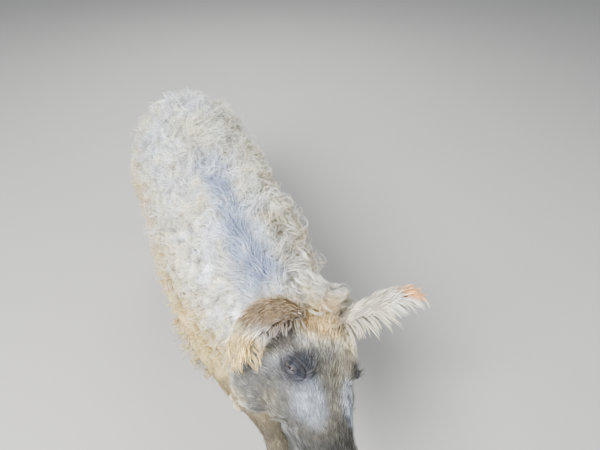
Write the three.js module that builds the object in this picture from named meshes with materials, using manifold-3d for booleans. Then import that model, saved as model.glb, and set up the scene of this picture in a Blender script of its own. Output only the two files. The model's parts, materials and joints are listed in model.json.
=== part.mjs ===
// A mangalica sow, life size, stepping with her right foreleg and lowering her head.
// Millimetres, +Z up. She faces -Y, her left side is +X, and her hooves stand on z = 0.
// The flesh is lofted through rings set out from a few body sizes, and the curly coat is
// made of rounded clumps and tapered locks rooted in it. Every named part keeps a thin gap to its neighbours.
import * as THREE from "three";
import { mergeVertices } from "three/addons/utils/BufferGeometryUtils.js";
import Module from "manifold-3d";

const wasm = await Module();
wasm.setup();

// Body sizes
const withersHeight = 735; // skin at the top of the back
const trunkHalfWidth = 186; // skin at the widest rib
const bellyHeight = 250; // skin at the lowest point of the belly
const rumpReach = 562; // from the middle of the barrel back to the rump
const napeReach = 572; // from the middle of the barrel forward to the nape
const headLength = 386; // nape to the face of the snout
const legSpread = 118; // from the midline to a hoof
const eyeRadius = 12.5;
const coatDepth = 46; // skin to the tips of the curls on the trunk
const coreDepth = 12; // skin to the felted base of the coat
const clumpSink = 12; // how far a clump is rooted in the core
const clumpPitch = 164; // between clumps on the trunk
const rowSpacing = 0.98; // between rows, as a share of the pitch
const gap = 0.35; // air between neighbouring parts

// Head carriage, in degrees
const headPitch = 9;
const headYaw = -7;
const headRoll = 30;

const v3 = (x, y, z) => new THREE.Vector3(x, y, z);
const sideways = v3(1, 0, 0);
const radians = THREE.MathUtils.degToRad;

// A seeded stream of numbers from 0 to 1, so that the coat is the same every time
function randomStream(seed) {
  let state = seed;
  return () => {
    state = (state + 0x6d2b79f5) | 0;
    let t = Math.imul(state ^ (state >>> 15), 1 | state);
    t = (t + Math.imul(t ^ (t >>> 7), 61 | t)) ^ t;
    return ((t ^ (t >>> 14)) >>> 0) / 4294967296;
  };
}

// Closed geometry through a list of rings, each with the same even number of points.
// The end caps run in strips across the ring, so that a crescent closes as well as a circle.
function ringsGeometry(rings) {
  const sides = rings[0].length;
  const end = (rings.length - 1) * sides;
  const index = [];
  for (let i = 0; i < rings.length - 1; i++) {
    for (let j = 0; j < sides; j++) {
      const a = i * sides + j;
      const b = i * sides + ((j + 1) % sides);
      index.push(a, b, a + sides, b, b + sides, a + sides);
    }
  }
  for (let j = 0; j < sides / 2 - 1; j++) {
    const [a, b, c, d] = [j, j + 1, sides - 2 - j, sides - 1 - j];
    index.push(a, d, c, a, c, b);
    index.push(end + a, end + b, end + c, end + a, end + c, end + d);
  }
  return new THREE.BufferGeometry().setFromPoints(rings.flat()).setIndex(index);
}

// A tube through stations { at, half, rise, drop }: half is across, rise and drop are the two
// unlike radii at right angles to it. blunt below 1 squares the section.
class Tube {
  constructor(stations, across = sideways, blunt = 1) {
    this.middle = new THREE.CatmullRomCurve3(stations.map((s) => s.at));
    this.middle.curveType = "catmullrom";
    const radii = stations.map((s) => v3(s.half, s.rise, s.drop));
    this.radii = new THREE.CatmullRomCurve3(radii);
    this.radii.curveType = "catmullrom";
    this.across = across;
    this.blunt = blunt;
  }

  axes(t) {
    const along = this.middle.getTangent(t);
    const across = this.across
      .clone()
      .addScaledVector(along, -this.across.dot(along))
      .normalize();
    const up = along.clone().cross(across);
    return { along, across, up };
  }

  point(t, angle, grow = 0) {
    const { across, up } = this.axes(t);
    const r = this.radii.getPoint(t);
    const shaped = (n) => Math.sign(n) * Math.abs(n) ** this.blunt;
    const c = shaped(Math.cos(angle));
    const s = shaped(Math.sin(angle));
    return this.middle
      .getPoint(t)
      .addScaledVector(across, c * (r.x + grow))
      .addScaledVector(up, s * ((s > 0 ? r.y : r.z) + grow));
  }

  normal(t, angle) {
    const step = 0.01;
    const t0 = Math.max(0, t - step);
    const t1 = Math.min(1, t + step);
    const along = this.point(t1, angle).sub(this.point(t0, angle));
    const around = this.point(t, angle + step).sub(this.point(t, angle - step));
    return around.cross(along).normalize();
  }

  geometry(steps, sides, grow = 0, turn = 0) {
    const rings = [];
    for (let i = 0; i <= steps; i++) {
      const end = grow * (i === 0 ? -1 : i === steps ? 1 : 0);
      const onward = this.axes(i / steps).along.multiplyScalar(end);
      const ring = [];
      for (let j = 0; j < sides; j++) {
        const angle = turn + (2 * Math.PI * j) / sides;
        ring.push(this.point(i / steps, angle, grow).add(onward));
      }
      rings.push(ring);
    }
    return ringsGeometry(rings);
  }
}

const station = (at, half, rise = half, drop = rise) => ({ at, half, rise, drop });

// A closed geometry as a solid, and back
function solid(geometry, matrix = new THREE.Matrix4()) {
  const bare = new THREE.BufferGeometry().setIndex(geometry.index);
  bare.setAttribute("position", geometry.getAttribute("position"));
  const merged = mergeVertices(bare, 1e-4).applyMatrix4(matrix);
  return new wasm.Manifold(
    new wasm.Mesh({
      numProp: 3,
      vertProperties: new Float32Array(merged.attributes.position.array),
      triVerts: new Uint32Array(merged.index.array),
    }),
  );
}

function geometryOf(body) {
  const mesh = body.getMesh();
  const places = new Float32Array(mesh.numVert * 3);
  for (let i = 0; i < mesh.numVert; i++) {
    const at = i * mesh.numProp;
    places.set(mesh.vertProperties.subarray(at, at + 3), i * 3);
  }
  const geometry = new THREE.BufferGeometry();
  geometry.setAttribute("position", new THREE.BufferAttribute(places, 3));
  geometry.setIndex(new THREE.BufferAttribute(mesh.triVerts, 1));
  geometry.computeVertexNormals();
  return geometry;
}

const joined = (pieces) => wasm.Manifold.union(pieces);

// The largest closed surface: loose scraps drop off and sealed hollows fill
function largest(body) {
  const pieces = body.decompose();
  return pieces.reduce((a, b) => (b.volume() > a.volume() ? b : a));
}

// Everything on the far side of a plane, as a very large block
const blockSize = 4000;
function halfSpace(point, outward) {
  const turn = new THREE.Quaternion().setFromUnitVectors(v3(0, 0, 1), outward.clone().normalize());
  const middle = point.clone().addScaledVector(outward.clone().normalize(), blockSize / 2);
  const matrix = new THREE.Matrix4().compose(middle, turn, v3(1, 1, 1));
  return solid(new THREE.BoxGeometry(blockSize, blockSize, blockSize), matrix);
}

// A piece of coat is set out in its own axes: flow along the lie, normal out of the skin
function coatAxes(normal, lie) {
  const side = lie.clone().cross(normal).normalize();
  return { side, flow: normal.clone().cross(side).normalize() };
}

// One flat, tapered lock. It leaves the skin at root, leans along lie and hooks to one side.
function lock({ root, normal, lie, long, wide, thick, hook = 0, lift = 0.5, sink = 0.5, matrix }, grow = 0) {
  const { side, flow } = coatAxes(normal, lie);
  const place = (along, out, across) =>
    root
      .clone()
      .addScaledVector(flow, along * long)
      .addScaledVector(normal, out * thick)
      .addScaledVector(side, across * long);
  const tube = new Tube(
    [
      station(place(-0.12, -sink, 0), wide * 0.31, thick * 0.4),
      station(place(0.22, lift, hook * 0.04), wide * 0.5, thick * 0.5),
      station(place(0.62, lift * 1.15, hook * 0.3), wide * 0.4, thick * 0.42),
      station(place(1, lift * 0.55, hook), wide * 0.08, thick * 0.1),
    ],
    side,
  );
  return solid(tube.geometry(3, 6, grow), matrix);
}

// One rounded clump of curls, a low six-sided dome that leans along the lie and twists
function clump({ root, normal, lie, long, wide, tall, twist = 0, matrix }, grow = 0) {
  const { side, flow } = coatAxes(normal, lie);
  const levels = [
    { out: -clumpSink / tall, size: 0.42, lean: -0.04 },
    { out: 0.4, size: 0.48, lean: 0 },
    { out: 0.86, size: 0.3, lean: 0.08 },
    { out: 1, size: 0.09, lean: 0.14 },
  ];
  const rings = levels.map(({ out, size, lean }, i) => {
    const end = grow * (i === 0 ? -1 : i === levels.length - 1 ? 1 : 0);
    return Array.from({ length: 6 }, (_, j) => {
      const angle = (j / 6) * 2 * Math.PI + twist * out;
      return root
        .clone()
        .addScaledVector(flow, (size * long + grow) * Math.cos(angle) + lean * long)
        .addScaledVector(side, -(size * wide + grow) * Math.sin(angle))
        .addScaledVector(normal, out * tall + end);
    });
  });
  return solid(ringsGeometry(rings), matrix);
}

// Clumps over a tube, in staggered rows from one share of its length to another
function clumpsOn(tube, { seed, from, to, pitch, tall, lie, bare = () => false, matrix }) {
  const random = randomStream(seed);
  const vary = (share) => 1 + (random() - 0.5) * 2 * share;
  const rows = Math.round((tube.middle.getLength() * (to - from)) / (pitch * rowSpacing));
  const list = [];
  for (let i = 0; i < rows; i++) {
    const rowShare = from + ((i + 0.5) / rows) * (to - from);
    const r = tube.radii.getPoint(tube.middle.getUtoTmapping(rowShare));
    const count = Math.max(3, Math.round((Math.PI * (r.x + (r.y + r.z) / 2)) / pitch));
    for (let j = 0; j < count; j++) {
      const share = rowShare + ((random() - 0.5) * 0.2 * (to - from)) / rows;
      const t = tube.middle.getUtoTmapping(share);
      const angle = ((j + (i % 2) / 2 + (random() - 0.5) * 0.15) / count) * 2 * Math.PI;
      const root = tube.point(t, angle);
      const normal = tube.normal(t, angle);
      const spec = { root, normal, lie: lie(normal), matrix, twist: random() - 0.5 };
      spec.long = pitch * 1.02 * vary(0.08);
      spec.wide = pitch * 0.94 * vary(0.08);
      spec.tall = tall * vary(0.12);
      if (!bare(root, normal)) list.push(spec);
    }
  }
  return list;
}

// Trunk and neck, one tube from the rump to inside the skull
const trunkMiddle = (withersHeight + bellyHeight) / 2;
const trunkRise = withersHeight - trunkMiddle;
const trunkStation = (y, x, lift, half, rise, drop) =>
  station(
    v3(x, y, trunkMiddle + lift),
    half * trunkHalfWidth + coreDepth,
    rise * trunkRise + coreDepth,
    drop * trunkRise + coreDepth,
  );
const trunk = new Tube([
  trunkStation(rumpReach, 0, 44, 0.2, 0.18, 0.2),
  trunkStation(rumpReach * 0.975, 0, 42, 0.46, 0.38, 0.42),
  trunkStation(rumpReach * 0.91, 0, 36, 0.7, 0.56, 0.62),
  trunkStation(rumpReach * 0.78, 0, 26, 0.9, 0.74, 0.78),
  trunkStation(rumpReach * 0.56, 0, 16, 0.98, 0.9, 0.88),
  trunkStation(rumpReach * 0.28, 0, 8, 0.99, 0.99, 0.97),
  trunkStation(0, 0, 2, 1, 1, 1),
  trunkStation(-napeReach * 0.28, 0, 2, 0.97, 0.98, 0.97),
  trunkStation(-napeReach * 0.52, 4, 10, 0.95, 0.96, 0.92),
  trunkStation(-napeReach * 0.72, 17, 16, 0.82, 0.84, 0.8),
  trunkStation(-napeReach * 0.88, 36, 12, 0.74, 0.7, 0.72),
  trunkStation(-napeReach * 1.04, 66, 6, 0.62, 0.5, 0.56),
]);

// The head is set out in its own frame: the nape at the origin, -Y to the snout, +Z to the brow
const nape = v3(92, -napeReach - 14, trunkMiddle + 48);
const headFrame = new THREE.Matrix4()
  .makeTranslation(nape)
  .multiply(new THREE.Matrix4().makeRotationZ(radians(headYaw)))
  .multiply(new THREE.Matrix4().makeRotationX(radians(headPitch)))
  .multiply(new THREE.Matrix4().makeRotationY(radians(headRoll)));
const faceCoat = 9;
const skullStation = (along, lift, half, rise, drop) =>
  station(v3(0, -along * headLength, lift), half + faceCoat, rise + faceCoat, drop + faceCoat);
const skull = new Tube([
  skullStation(-0.15, -16, 116, 92, 116),
  skullStation(0.0, -16, 132, 106, 132),
  skullStation(0.14, -16, 140, 106, 142),
  skullStation(0.28, -12, 128, 96, 130),
  skullStation(0.41, -8, 104, 80, 104),
  skullStation(0.56, -4, 79, 61, 80),
  skullStation(0.73, 0, 62, 49, 60),
  skullStation(0.87, 4, 56, 44, 54),
  skullStation(0.945, 6, 54, 44, 46),
]);
const snoutBack = -headLength * 0.935;
const eyePlace = (side) => v3(side * 85, -headLength * 0.37, 52);
const jowlPlace = (side) => v3(side * 86, -84, -84);
const jowlSize = [70, 92, 72];
const eyeOut = (side) => v3(side * 0.84, -0.22, 0.5).normalize();

// The mouth, drawn from the side: the lower jaw is what lies under this line
const mouthCorner = -headLength * 0.44;
const jawFront = -headLength * 0.88;
const jawHinge = -headLength * 0.36;
function jawRegion(open) {
  const back = Math.min(open, gap);
  const shape = new THREE.Shape();
  shape.moveTo(jawFront - open * 3, -14 + open);
  shape.lineTo(-headLength * 0.72, -22 + open);
  shape.lineTo(-headLength * 0.55, -33 + open);
  shape.lineTo(mouthCorner + open, -25 + open);
  shape.lineTo(mouthCorner + 14 + back, -44);
  shape.lineTo(jawHinge + back, -220);
  shape.lineTo(jawFront - open * 3, -220);
  shape.closePath();
  const width = 500;
  const geometry = new THREE.ExtrudeGeometry(shape, { depth: width, bevelEnabled: false });
  // the drawing's x and y become the head's y and z
  const turn = new THREE.Matrix4().makeBasis(v3(0, 1, 0), v3(0, 0, 1), v3(1, 0, 0));
  geometry.applyMatrix4(turn).translate(-width / 2, 0, 0);
  delete geometry.attributes.normal;
  delete geometry.attributes.uv;
  return solid(mergeVertices(geometry, 1e-4), headFrame);
}

const eyeball = (side, grow = 0) => {
  const sphere = new THREE.SphereGeometry(eyeRadius + grow, 12, 8);
  const at = eyePlace(side);
  return solid(sphere, headFrame.clone().multiply(new THREE.Matrix4().makeTranslation(at)));
};

// The lids are a shell round the eye, open in front as an almond
function almond(side, reach, long, high, deep) {
  const out = eyeOut(side);
  const across = v3(0, -1, -0.22).addScaledVector(out, -v3(0, -1, -0.22).dot(out)).normalize();
  const turn = new THREE.Matrix4().makeBasis(across, out.clone().cross(across), out);
  turn.setPosition(eyePlace(side).addScaledVector(out, reach));
  turn.scale(v3(long, high, deep));
  return solid(new THREE.SphereGeometry(1, 12, 6), headFrame.clone().multiply(turn));
}
const lids = (side) => almond(side, 2, eyeRadius + 9, eyeRadius + 5, eyeRadius + 4);
const lidOpening = (side) => almond(side, eyeRadius + 2, eyeRadius + 2, eyeRadius * 0.62, eyeRadius);

// Lips are low rolls that follow the mouth from the snout to its corner
function lip(side, upper) {
  const at = (along, half, z) => v3(side * half, -along * headLength, z + (upper ? 4 : -5));
  const stations = [
    station(at(0.86, 52, -12), 6),
    station(at(0.72, 65, -20), 8),
    station(at(0.57, 84, -31), 9),
    station(at(0.46, 104, -27), 6),
  ];
  return solid(new Tube(stations, v3(0, 0, 1)).geometry(6, 6), headFrame);
}

const ball = (at, x, y, z, matrix) => {
  const place = new THREE.Matrix4().compose(at, new THREE.Quaternion(), v3(x, y, z));
  return solid(new THREE.SphereGeometry(1, 10, 7), matrix.clone().multiply(place));
};

// Snout: a tough round disc with two nostrils
const snoutHalf = 58;
const snoutRise = 48;
function snoutDisc() {
  const at = (back, z) => v3(0, snoutBack - gap - back, z);
  const disc = new Tube([
    station(at(0, 5), snoutHalf * 0.88, snoutRise * 0.88),
    station(at(7, 5), snoutHalf * 0.99, snoutRise * 0.99),
    station(at(16, 6), snoutHalf, snoutRise),
    station(at(24, 7), snoutHalf * 0.86, snoutRise * 0.84),
  ]);
  let body = solid(disc.geometry(6, 20), headFrame);
  for (const side of [-1, 1]) {
    const hole = new Tube([
      station(v3(side * 20, snoutBack - 9, 6), 6.5, 9),
      station(v3(side * 22, snoutBack - 40, 8), 10.5, 14),
    ]);
    body = body.subtract(solid(hole.geometry(3, 10), headFrame));
  }
  return body;
}

// Ears, each a cupped leaf along its own midline
const earThick = 7;
function earSpec(side) {
  // the left ear stands out sideways, the right one folds forward over the brow
  if (side > 0) {
    return {
      middle: [v3(58, -16, 74), v3(96, -20, 124), v3(132, -14, 168), v3(172, -10, 204), v3(206, -14, 230)],
      width: 54,
      open: v3(0.45, -0.9, -0.2),
      cup: 0.55,
    };
  }
  return {
    middle: [v3(-60, -20, 74), v3(-110, -22, 100), v3(-164, -34, 84), v3(-196, -68, 48), v3(-192, -118, 18)],
    width: 56,
    open: v3(0.5, -0.6, -0.7),
    cup: 0.6,
  };
}
// A flat ring of [x, y] points moved outward by grow
function grownRing(ring, grow) {
  const turned = (a, b) => new THREE.Vector2(b.y - a.y, a.x - b.x).normalize();
  return ring.map((p, i) => {
    const before = turned(ring[(i + ring.length - 1) % ring.length], p);
    const after = turned(p, ring[(i + 1) % ring.length]);
    const middle = before.clone().add(after).normalize();
    return p.clone().addScaledVector(middle, grow / Math.max(0.4, middle.dot(after)));
  });
}
const earWidth = (u) => Math.sin(Math.PI * Math.min(0.97, 0.16 + u * 0.8)) ** 0.8;
function earRings(spec, steps, grow) {
  const middle = new THREE.CatmullRomCurve3(spec.middle);
  const rings = [];
  for (let i = 0; i <= steps; i++) {
    const u = i / steps;
    const along = middle.getTangent(u);
    const open = spec.open.clone().addScaledVector(along, -spec.open.dot(along)).normalize();
    const across = open.clone().cross(along).normalize();
    const half = spec.width * earWidth(u);
    const thick = earThick * (1.15 - 0.55 * u) * 0.5;
    const end = grow * (i === 0 ? -1 : i === steps ? 1 : 0);
    const flat = (v, out) =>
      new THREE.Vector2(v * half, spec.cup * half * (v * v - 0.5) + out * (v * v < 1 ? 1 : 0.4));
    const back = [-1, -0.5, 0, 0.5, 1].map((v) => flat(v, -thick));
    const inner = [1, 0.5, 0, -0.5, -1].map((v) => flat(v, thick));
    const ring = grownRing([...back, ...inner], grow).map((p) =>
      middle
        .getPoint(u)
        .addScaledVector(along, end)
        .addScaledVector(across, p.x)
        .addScaledVector(open, p.y),
    );
    rings.push(ring);
  }
  return rings;
}
// Long hair hangs from both edges of the ear and past its tip
function earLocks(spec, side) {
  const middle = new THREE.CatmullRomCurve3(spec.middle);
  const random = randomStream(side > 0 ? 31 : 47);
  const list = [];
  for (const [edge, count] of [[-1, 2], [1, 2]]) {
    for (let i = 0; i < count; i++) {
      const u = 0.34 + (0.6 * (i + 0.5 + (random() - 0.5) * 0.3)) / count;
      const along = middle.getTangent(u);
      const open = spec.open.clone().addScaledVector(along, -spec.open.dot(along)).normalize();
      const across = open.clone().cross(along).normalize();
      const half = spec.width * earWidth(u);
      list.push({
        root: middle
          .getPoint(u)
          .addScaledVector(across, edge * half * 0.82)
          .addScaledVector(open, spec.cup * half * 0.17),
        normal: open.clone().negate(),
        lie: across.multiplyScalar(edge * 0.75).addScaledVector(along, 0.8),
        long: 50 + 24 * random(),
        wide: 34,
        thick: 9,
        lift: 0.2,
        sink: 0,
        hook: (random() - 0.5) * 0.3,
        matrix: headFrame,
      });
    }
  }
  const tip = middle.getTangent(0.97);
  for (const spread of [-0.35, 0.2]) {
    const open = spec.open.clone().addScaledVector(tip, -spec.open.dot(tip)).normalize();
    list.push({
      root: middle.getPoint(0.93),
      normal: open,
      lie: tip.clone().addScaledVector(open.clone().cross(tip), spread),
      long: 62,
      wide: 28,
      thick: 8,
      lift: 0.1,
      sink: 0,
      hook: spread * 0.4,
      matrix: headFrame,
    });
  }
  return list;
}
function ear(side, grow = 0) {
  const spec = earSpec(side);
  const leaf = solid(ringsGeometry(earRings(spec, 8, grow)), headFrame);
  return joined([leaf, ...earLocks(spec, side).map((hair) => lock(hair, grow))]);
}

// Legs. Each runs from inside the trunk to the pastern, with the hooves below.
const frontKnee = 182;
const backHock = 205;
const stepReach = 290; // the right forehoof is set this far forward
const stepTuck = 130; // and this far in under the chest
function legSpec(front, side) {
  const x = side * legSpread;
  if (front) {
    const stepping = side < 0 ? 1 : 0;
    // A point of the leg, and the share of the step that it takes up
    const at = (offset, y, z, share) =>
      v3(
        x + side * offset + stepping * stepTuck * share ** 1.5,
        y - stepping * stepReach * share,
        z,
      );
    return {
      name: `fore_leg_${side > 0 ? "left" : "right"}`,
      side,
      split: frontKnee,
      hoof: at(0, -352, 0, 1),
      tube: new Tube([
        station(at(0, -272, 440, 0.2), 78, 98, 92),
        station(at(6, -280, 350, 0.42), 70, 80, 78),
        station(at(4, -298, 262, 0.62), 54, 58, 56),
        station(at(0, -314, frontKnee, 0.9), 42, 44, 42),
        station(at(0, -318, 118, 0.96), 33, 34, 34),
        station(at(0, -322, 76, 1), 37, 38, 40),
        station(at(0, -342, 36, 1), 31, 33, 30),
      ]),
    };
  }
  return {
    name: `hind_leg_${side > 0 ? "left" : "right"}`,
    side,
    split: backHock - 12,
    hoof: v3(x, 424, 0),
    tube: new Tube([
      station(v3(x - side * 4, 372, 480), 86, 130, 124),
      station(v3(x + side * 8, 380, 385), 82, 112, 106),
      station(v3(x + side * 6, 418, 296), 58, 70, 66),
      station(v3(x, 464, backHock + 6), 41, 46, 44),
      station(v3(x, 468, 132), 33, 35, 36),
      station(v3(x, 456, 80), 37, 39, 40),
      station(v3(x, 436, 36), 31, 33, 30),
    ]),
  };
}
const legs = [1, 0].flatMap((front) => [1, -1].map((side) => legSpec(front, side)));

// Hooves: two claws side by side and two dew claws behind, hung clear of the floor
function claw(at, grow = 0) {
  const toe = new Tube(
    [
      station(v3(at.x, at.y + 6, 52), 13, 15, 15),
      station(v3(at.x, at.y - 2, 36), 15.5, 20, 19),
      station(v3(at.x, at.y - 8, 14), 17, 27, 22),
      station(v3(at.x, at.y - 10, -12), 17.5, 31, 23),
    ],
    sideways,
    0.85,
  );
  return solid(toe.geometry(4, 8, grow)).intersect(halfSpace(v3(0, 0, 0), v3(0, 0, 1)));
}
function dewClaw(at, grow = 0) {
  const nail = new Tube([
    station(v3(at.x, at.y + 22, 80), 9, 9, 9),
    station(v3(at.x, at.y + 34, 64), 10, 10, 9),
    station(v3(at.x, at.y + 42, 44), 8.5, 8, 7),
    station(v3(at.x, at.y + 43, 34), 4, 4, 3),
  ]);
  return solid(nail.geometry(3, 6, grow));
}
const clawSpread = 18.5;
function hoofPieces(leg) {
  return ["inner", "outer"].flatMap((which, i) => {
    const out = leg.side * (i ? 1 : -1);
    const at = leg.hoof.clone().setX(leg.hoof.x + out * clawSpread);
    return [
      { name: `${leg.name}_${which}_claw`, make: (grow) => claw(at, grow) },
      { name: `${leg.name}_${which}_dewclaw`, make: (grow) => dewClaw(at, grow) },
    ];
  });
}

// Tail, hanging with a loose curl, in two lengths
const tailRoot = v3(0, rumpReach + 2, trunkMiddle + 112);
const tailSplit = trunkMiddle - 36;
const tail = new Tube([
  station(v3(0, tailRoot.y - 50, tailRoot.z + 6), 30),
  station(v3(2, tailRoot.y + 24, tailRoot.z - 6), 27),
  station(v3(10, tailRoot.y + 66, tailRoot.z - 60), 21),
  station(v3(22, tailRoot.y + 66, tailSplit), 17),
  station(v3(12, tailRoot.y + 58, tailSplit - 70), 18),
  station(v3(-8, tailRoot.y + 66, tailSplit - 130), 20),
  station(v3(-14, tailRoot.y + 78, tailSplit - 180), 5),
]);

const tailLocks = Array.from({ length: 4 }, (_, i) => {
  const angle = i * 2.4;
  const out = v3(Math.cos(angle), Math.sin(angle), 0);
  const t = 0.62 + i * 0.045;
  return {
    root: tail.point(t, angle).addScaledVector(out, -6),
    normal: out,
    lie: v3(0, 0, -1),
    long: 78 + 6 * (i % 3),
    wide: 30,
    thick: 15,
    lift: 0.5,
    hook: i % 2 ? 0.12 : -0.12,
  };
});

// Planes that part the tube of the body
const neckCut = { at: v3(4, -napeReach * 0.7, 0), out: v3(0.03, -1, 0.12) };
const loinCut = { at: v3(0, 96, 0), out: v3(0, -1, 0) };
const headCutAt = v3(0, 6, 0).applyMatrix4(headFrame);
const headCutOut = v3(0, -1, 0.34).transformDirection(headFrame);
const front = (cut, back = 0) =>
  halfSpace(cut.at.clone().addScaledVector(cut.out.clone().normalize(), back), cut.out);
const headCut = { at: headCutAt, out: headCutOut };

// Raw bodies, before neighbours are cut clear of each other
const clumpTall = coatDepth - coreDepth;
const flankLie = (normal) => v3(0, 1, -0.7 * Math.abs(normal.x));
const trunkClumps = clumpsOn(trunk, {
  seed: 5,
  from: 0.01,
  to: 0.93,
  pitch: clumpPitch,
  tall: clumpTall,
  lie: flankLie,
});
const trunkBody = joined([
  solid(trunk.geometry(12, 12)),
  ...trunkClumps.map((curls) => clump(curls)),
]);
const pollClumps = clumpsOn(skull, {
  seed: 11,
  from: 0.1,
  to: 0.42,
  pitch: 84,
  tall: 22,
  lie: () => v3(0, -1, 0),
  bare: (root) => root.z < 30 || Math.abs(root.x) > 78,
  matrix: headFrame,
});
// Long hair along the edge of each cheek, towards the throat
const cheekLocks = [1, -1].flatMap((side) =>
  [0, 1, 2].map((i) => {
    const turn = 0.3 + i * 0.5;
    const normal = v3(side * Math.cos(turn), 0.2 - 0.2 * i, -Math.sin(turn)).normalize();
    return {
      root: jowlPlace(side).add(normal.clone().multiply(v3(...jowlSize)).multiplyScalar(0.9)),
      normal,
      lie: v3(0, 1, -0.5),
      long: 80,
      wide: 46,
      thick: 16,
      hook: side * (i % 2 ? 0.16 : -0.1),
      matrix: headFrame,
    };
  }),
);
const headBody = joined([
  solid(skull.geometry(12, 12), headFrame),
  ...[1, -1].flatMap((side) => [
    ball(jowlPlace(side), ...jowlSize, headFrame), // jowl
    ball(v3(side * 62, -126, 66), 34, 48, 26, headFrame), // brow
    lids(side),
    lip(side, true),
  ]),
  ...pollClumps.map((curls) => clump(curls)),
  ...cheekLocks.map((hair) => lock(hair)),
]);
const jawBody = joined([
  solid(skull.geometry(12, 12), headFrame),
  ...[1, -1].map((side) => lip(side, false)),
]);

const nodes = [];
const add = (name, look, body) => nodes.push({ name, look, body: largest(body) });
const without = (body, others) => others.reduce((left, other) => left.subtract(other), body);

// Eyes, ears and snout
for (const side of [1, -1]) {
  const word = side > 0 ? "left" : "right";
  add(`eye_${word}`, "eye", eyeball(side));
  add(`ear_${word}`, "coat", ear(side));
}
add("snout", "snout", snoutDisc());

const snoutFront = halfSpace(
  v3(0, snoutBack, 0).applyMatrix4(headFrame),
  v3(0, -1, 0).transformDirection(headFrame),
);
const grownEyesAndEars = [1, -1].flatMap((side) => [eyeball(side, gap), ear(side, gap)]);
const headOnly = headBody.intersect(front(headCut, gap)).subtract(snoutFront);
const hollows = [jawRegion(3.2), lidOpening(1), lidOpening(-1), ...grownEyesAndEars];
add("head", "face", without(headOnly, hollows));
add("lower_jaw", "face", jawBody.intersect(jawRegion(0)));

// Neck and trunk
const legBodies = legs.map((leg, i) => {
  const curls = clumpsOn(leg.tube, {
    seed: 60 + i,
    from: 0.1,
    to: 0.5,
    pitch: 132,
    tall: 20,
    lie: () => v3(0, 0.2, -1),
  });
  const whole = (grow) =>
    joined([solid(leg.tube.geometry(9, 8, grow)), ...curls.map((tuft) => clump(tuft, grow))]);
  return { leg, whole };
});
const shoulderTop = 330;
const hipTop = 345;
const legTop = (leg) => (leg.hoof.y < 0 ? shoulderTop : hipTop);
const up = v3(0, 0, 1);
const grownLegs = legBodies.map(({ leg, whole }) =>
  whole(gap).subtract(halfSpace(v3(0, 0, legTop(leg) + gap), up)),
);
const stumps = legBodies.map(({ leg, whole }) =>
  whole(0).intersect(halfSpace(v3(0, 0, legTop(leg) - 30), up)),
);
const neckBody = trunkBody.subtract(front(headCut)).intersect(front(neckCut, gap));
add("neck", "coat", without(neckBody, [...grownEyesAndEars, ...grownLegs]));
const tailBody = (grow) =>
  joined([solid(tail.geometry(10, 6, grow)), ...tailLocks.map((hair) => lock(hair, grow))]);
const torso = without(joined([trunkBody, ...stumps]).subtract(front(neckCut)), [
  ...grownLegs,
  tailBody(gap),
]);
add("torso_front", "coat", torso.intersect(front(loinCut, gap)));
add("torso_rear", "coat", torso.subtract(front(loinCut)));

// Legs and hooves
for (const { leg, whole } of legBodies) {
  const hooves = hoofPieces(leg);
  for (const hoof of hooves) add(hoof.name, "horn", hoof.make(0));
  const limb = without(
    whole(0).subtract(halfSpace(v3(0, 0, legTop(leg)), up)),
    hooves.map((hoof) => hoof.make(gap)),
  );
  const below = halfSpace(v3(0, 0, leg.split), up);
  add(`${leg.name}_upper`, "coat", limb.intersect(halfSpace(v3(0, 0, leg.split + gap), up)));
  add(`${leg.name}_lower`, "coat", limb.subtract(below));
}

// Tail
const tailBelow = halfSpace(v3(0, 0, tailSplit), up);
add("tail_root", "coat", tailBody(0).intersect(halfSpace(v3(0, 0, tailSplit + gap), up)));
add("tail_tip", "coat", tailBody(0).subtract(tailBelow));

const looks = {
  coat: { color: 0xd9d0b4, roughness: 0.95 },
  face: { color: 0xaaa291, roughness: 0.9 },
  snout: { color: 0x5d5650, roughness: 0.6 },
  eye: { color: 0x1b1410, roughness: 0.15 },
  horn: { color: 0x3b342e, roughness: 0.7 },
};
const pig = new THREE.Group();
for (const { name, look, body } of nodes) {
  const material = new THREE.MeshStandardMaterial({ ...looks[look], metalness: 0 });
  const mesh = new THREE.Mesh(geometryOf(body), material);
  mesh.name = name;
  pig.add(mesh);
}

// The origin is on the floor, under the middle of her outline
const outline = new THREE.Box3().setFromObject(pig);
const centre = outline.getCenter(v3(0, 0, 0));
pig.position.set(-centre.x, -centre.y, -outline.min.z);

export default pig;
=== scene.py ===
import json

import bmesh
import bpy
import numpy as np
from mathutils import Matrix, Vector
from mathutils.kdtree import KDTree

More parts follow.
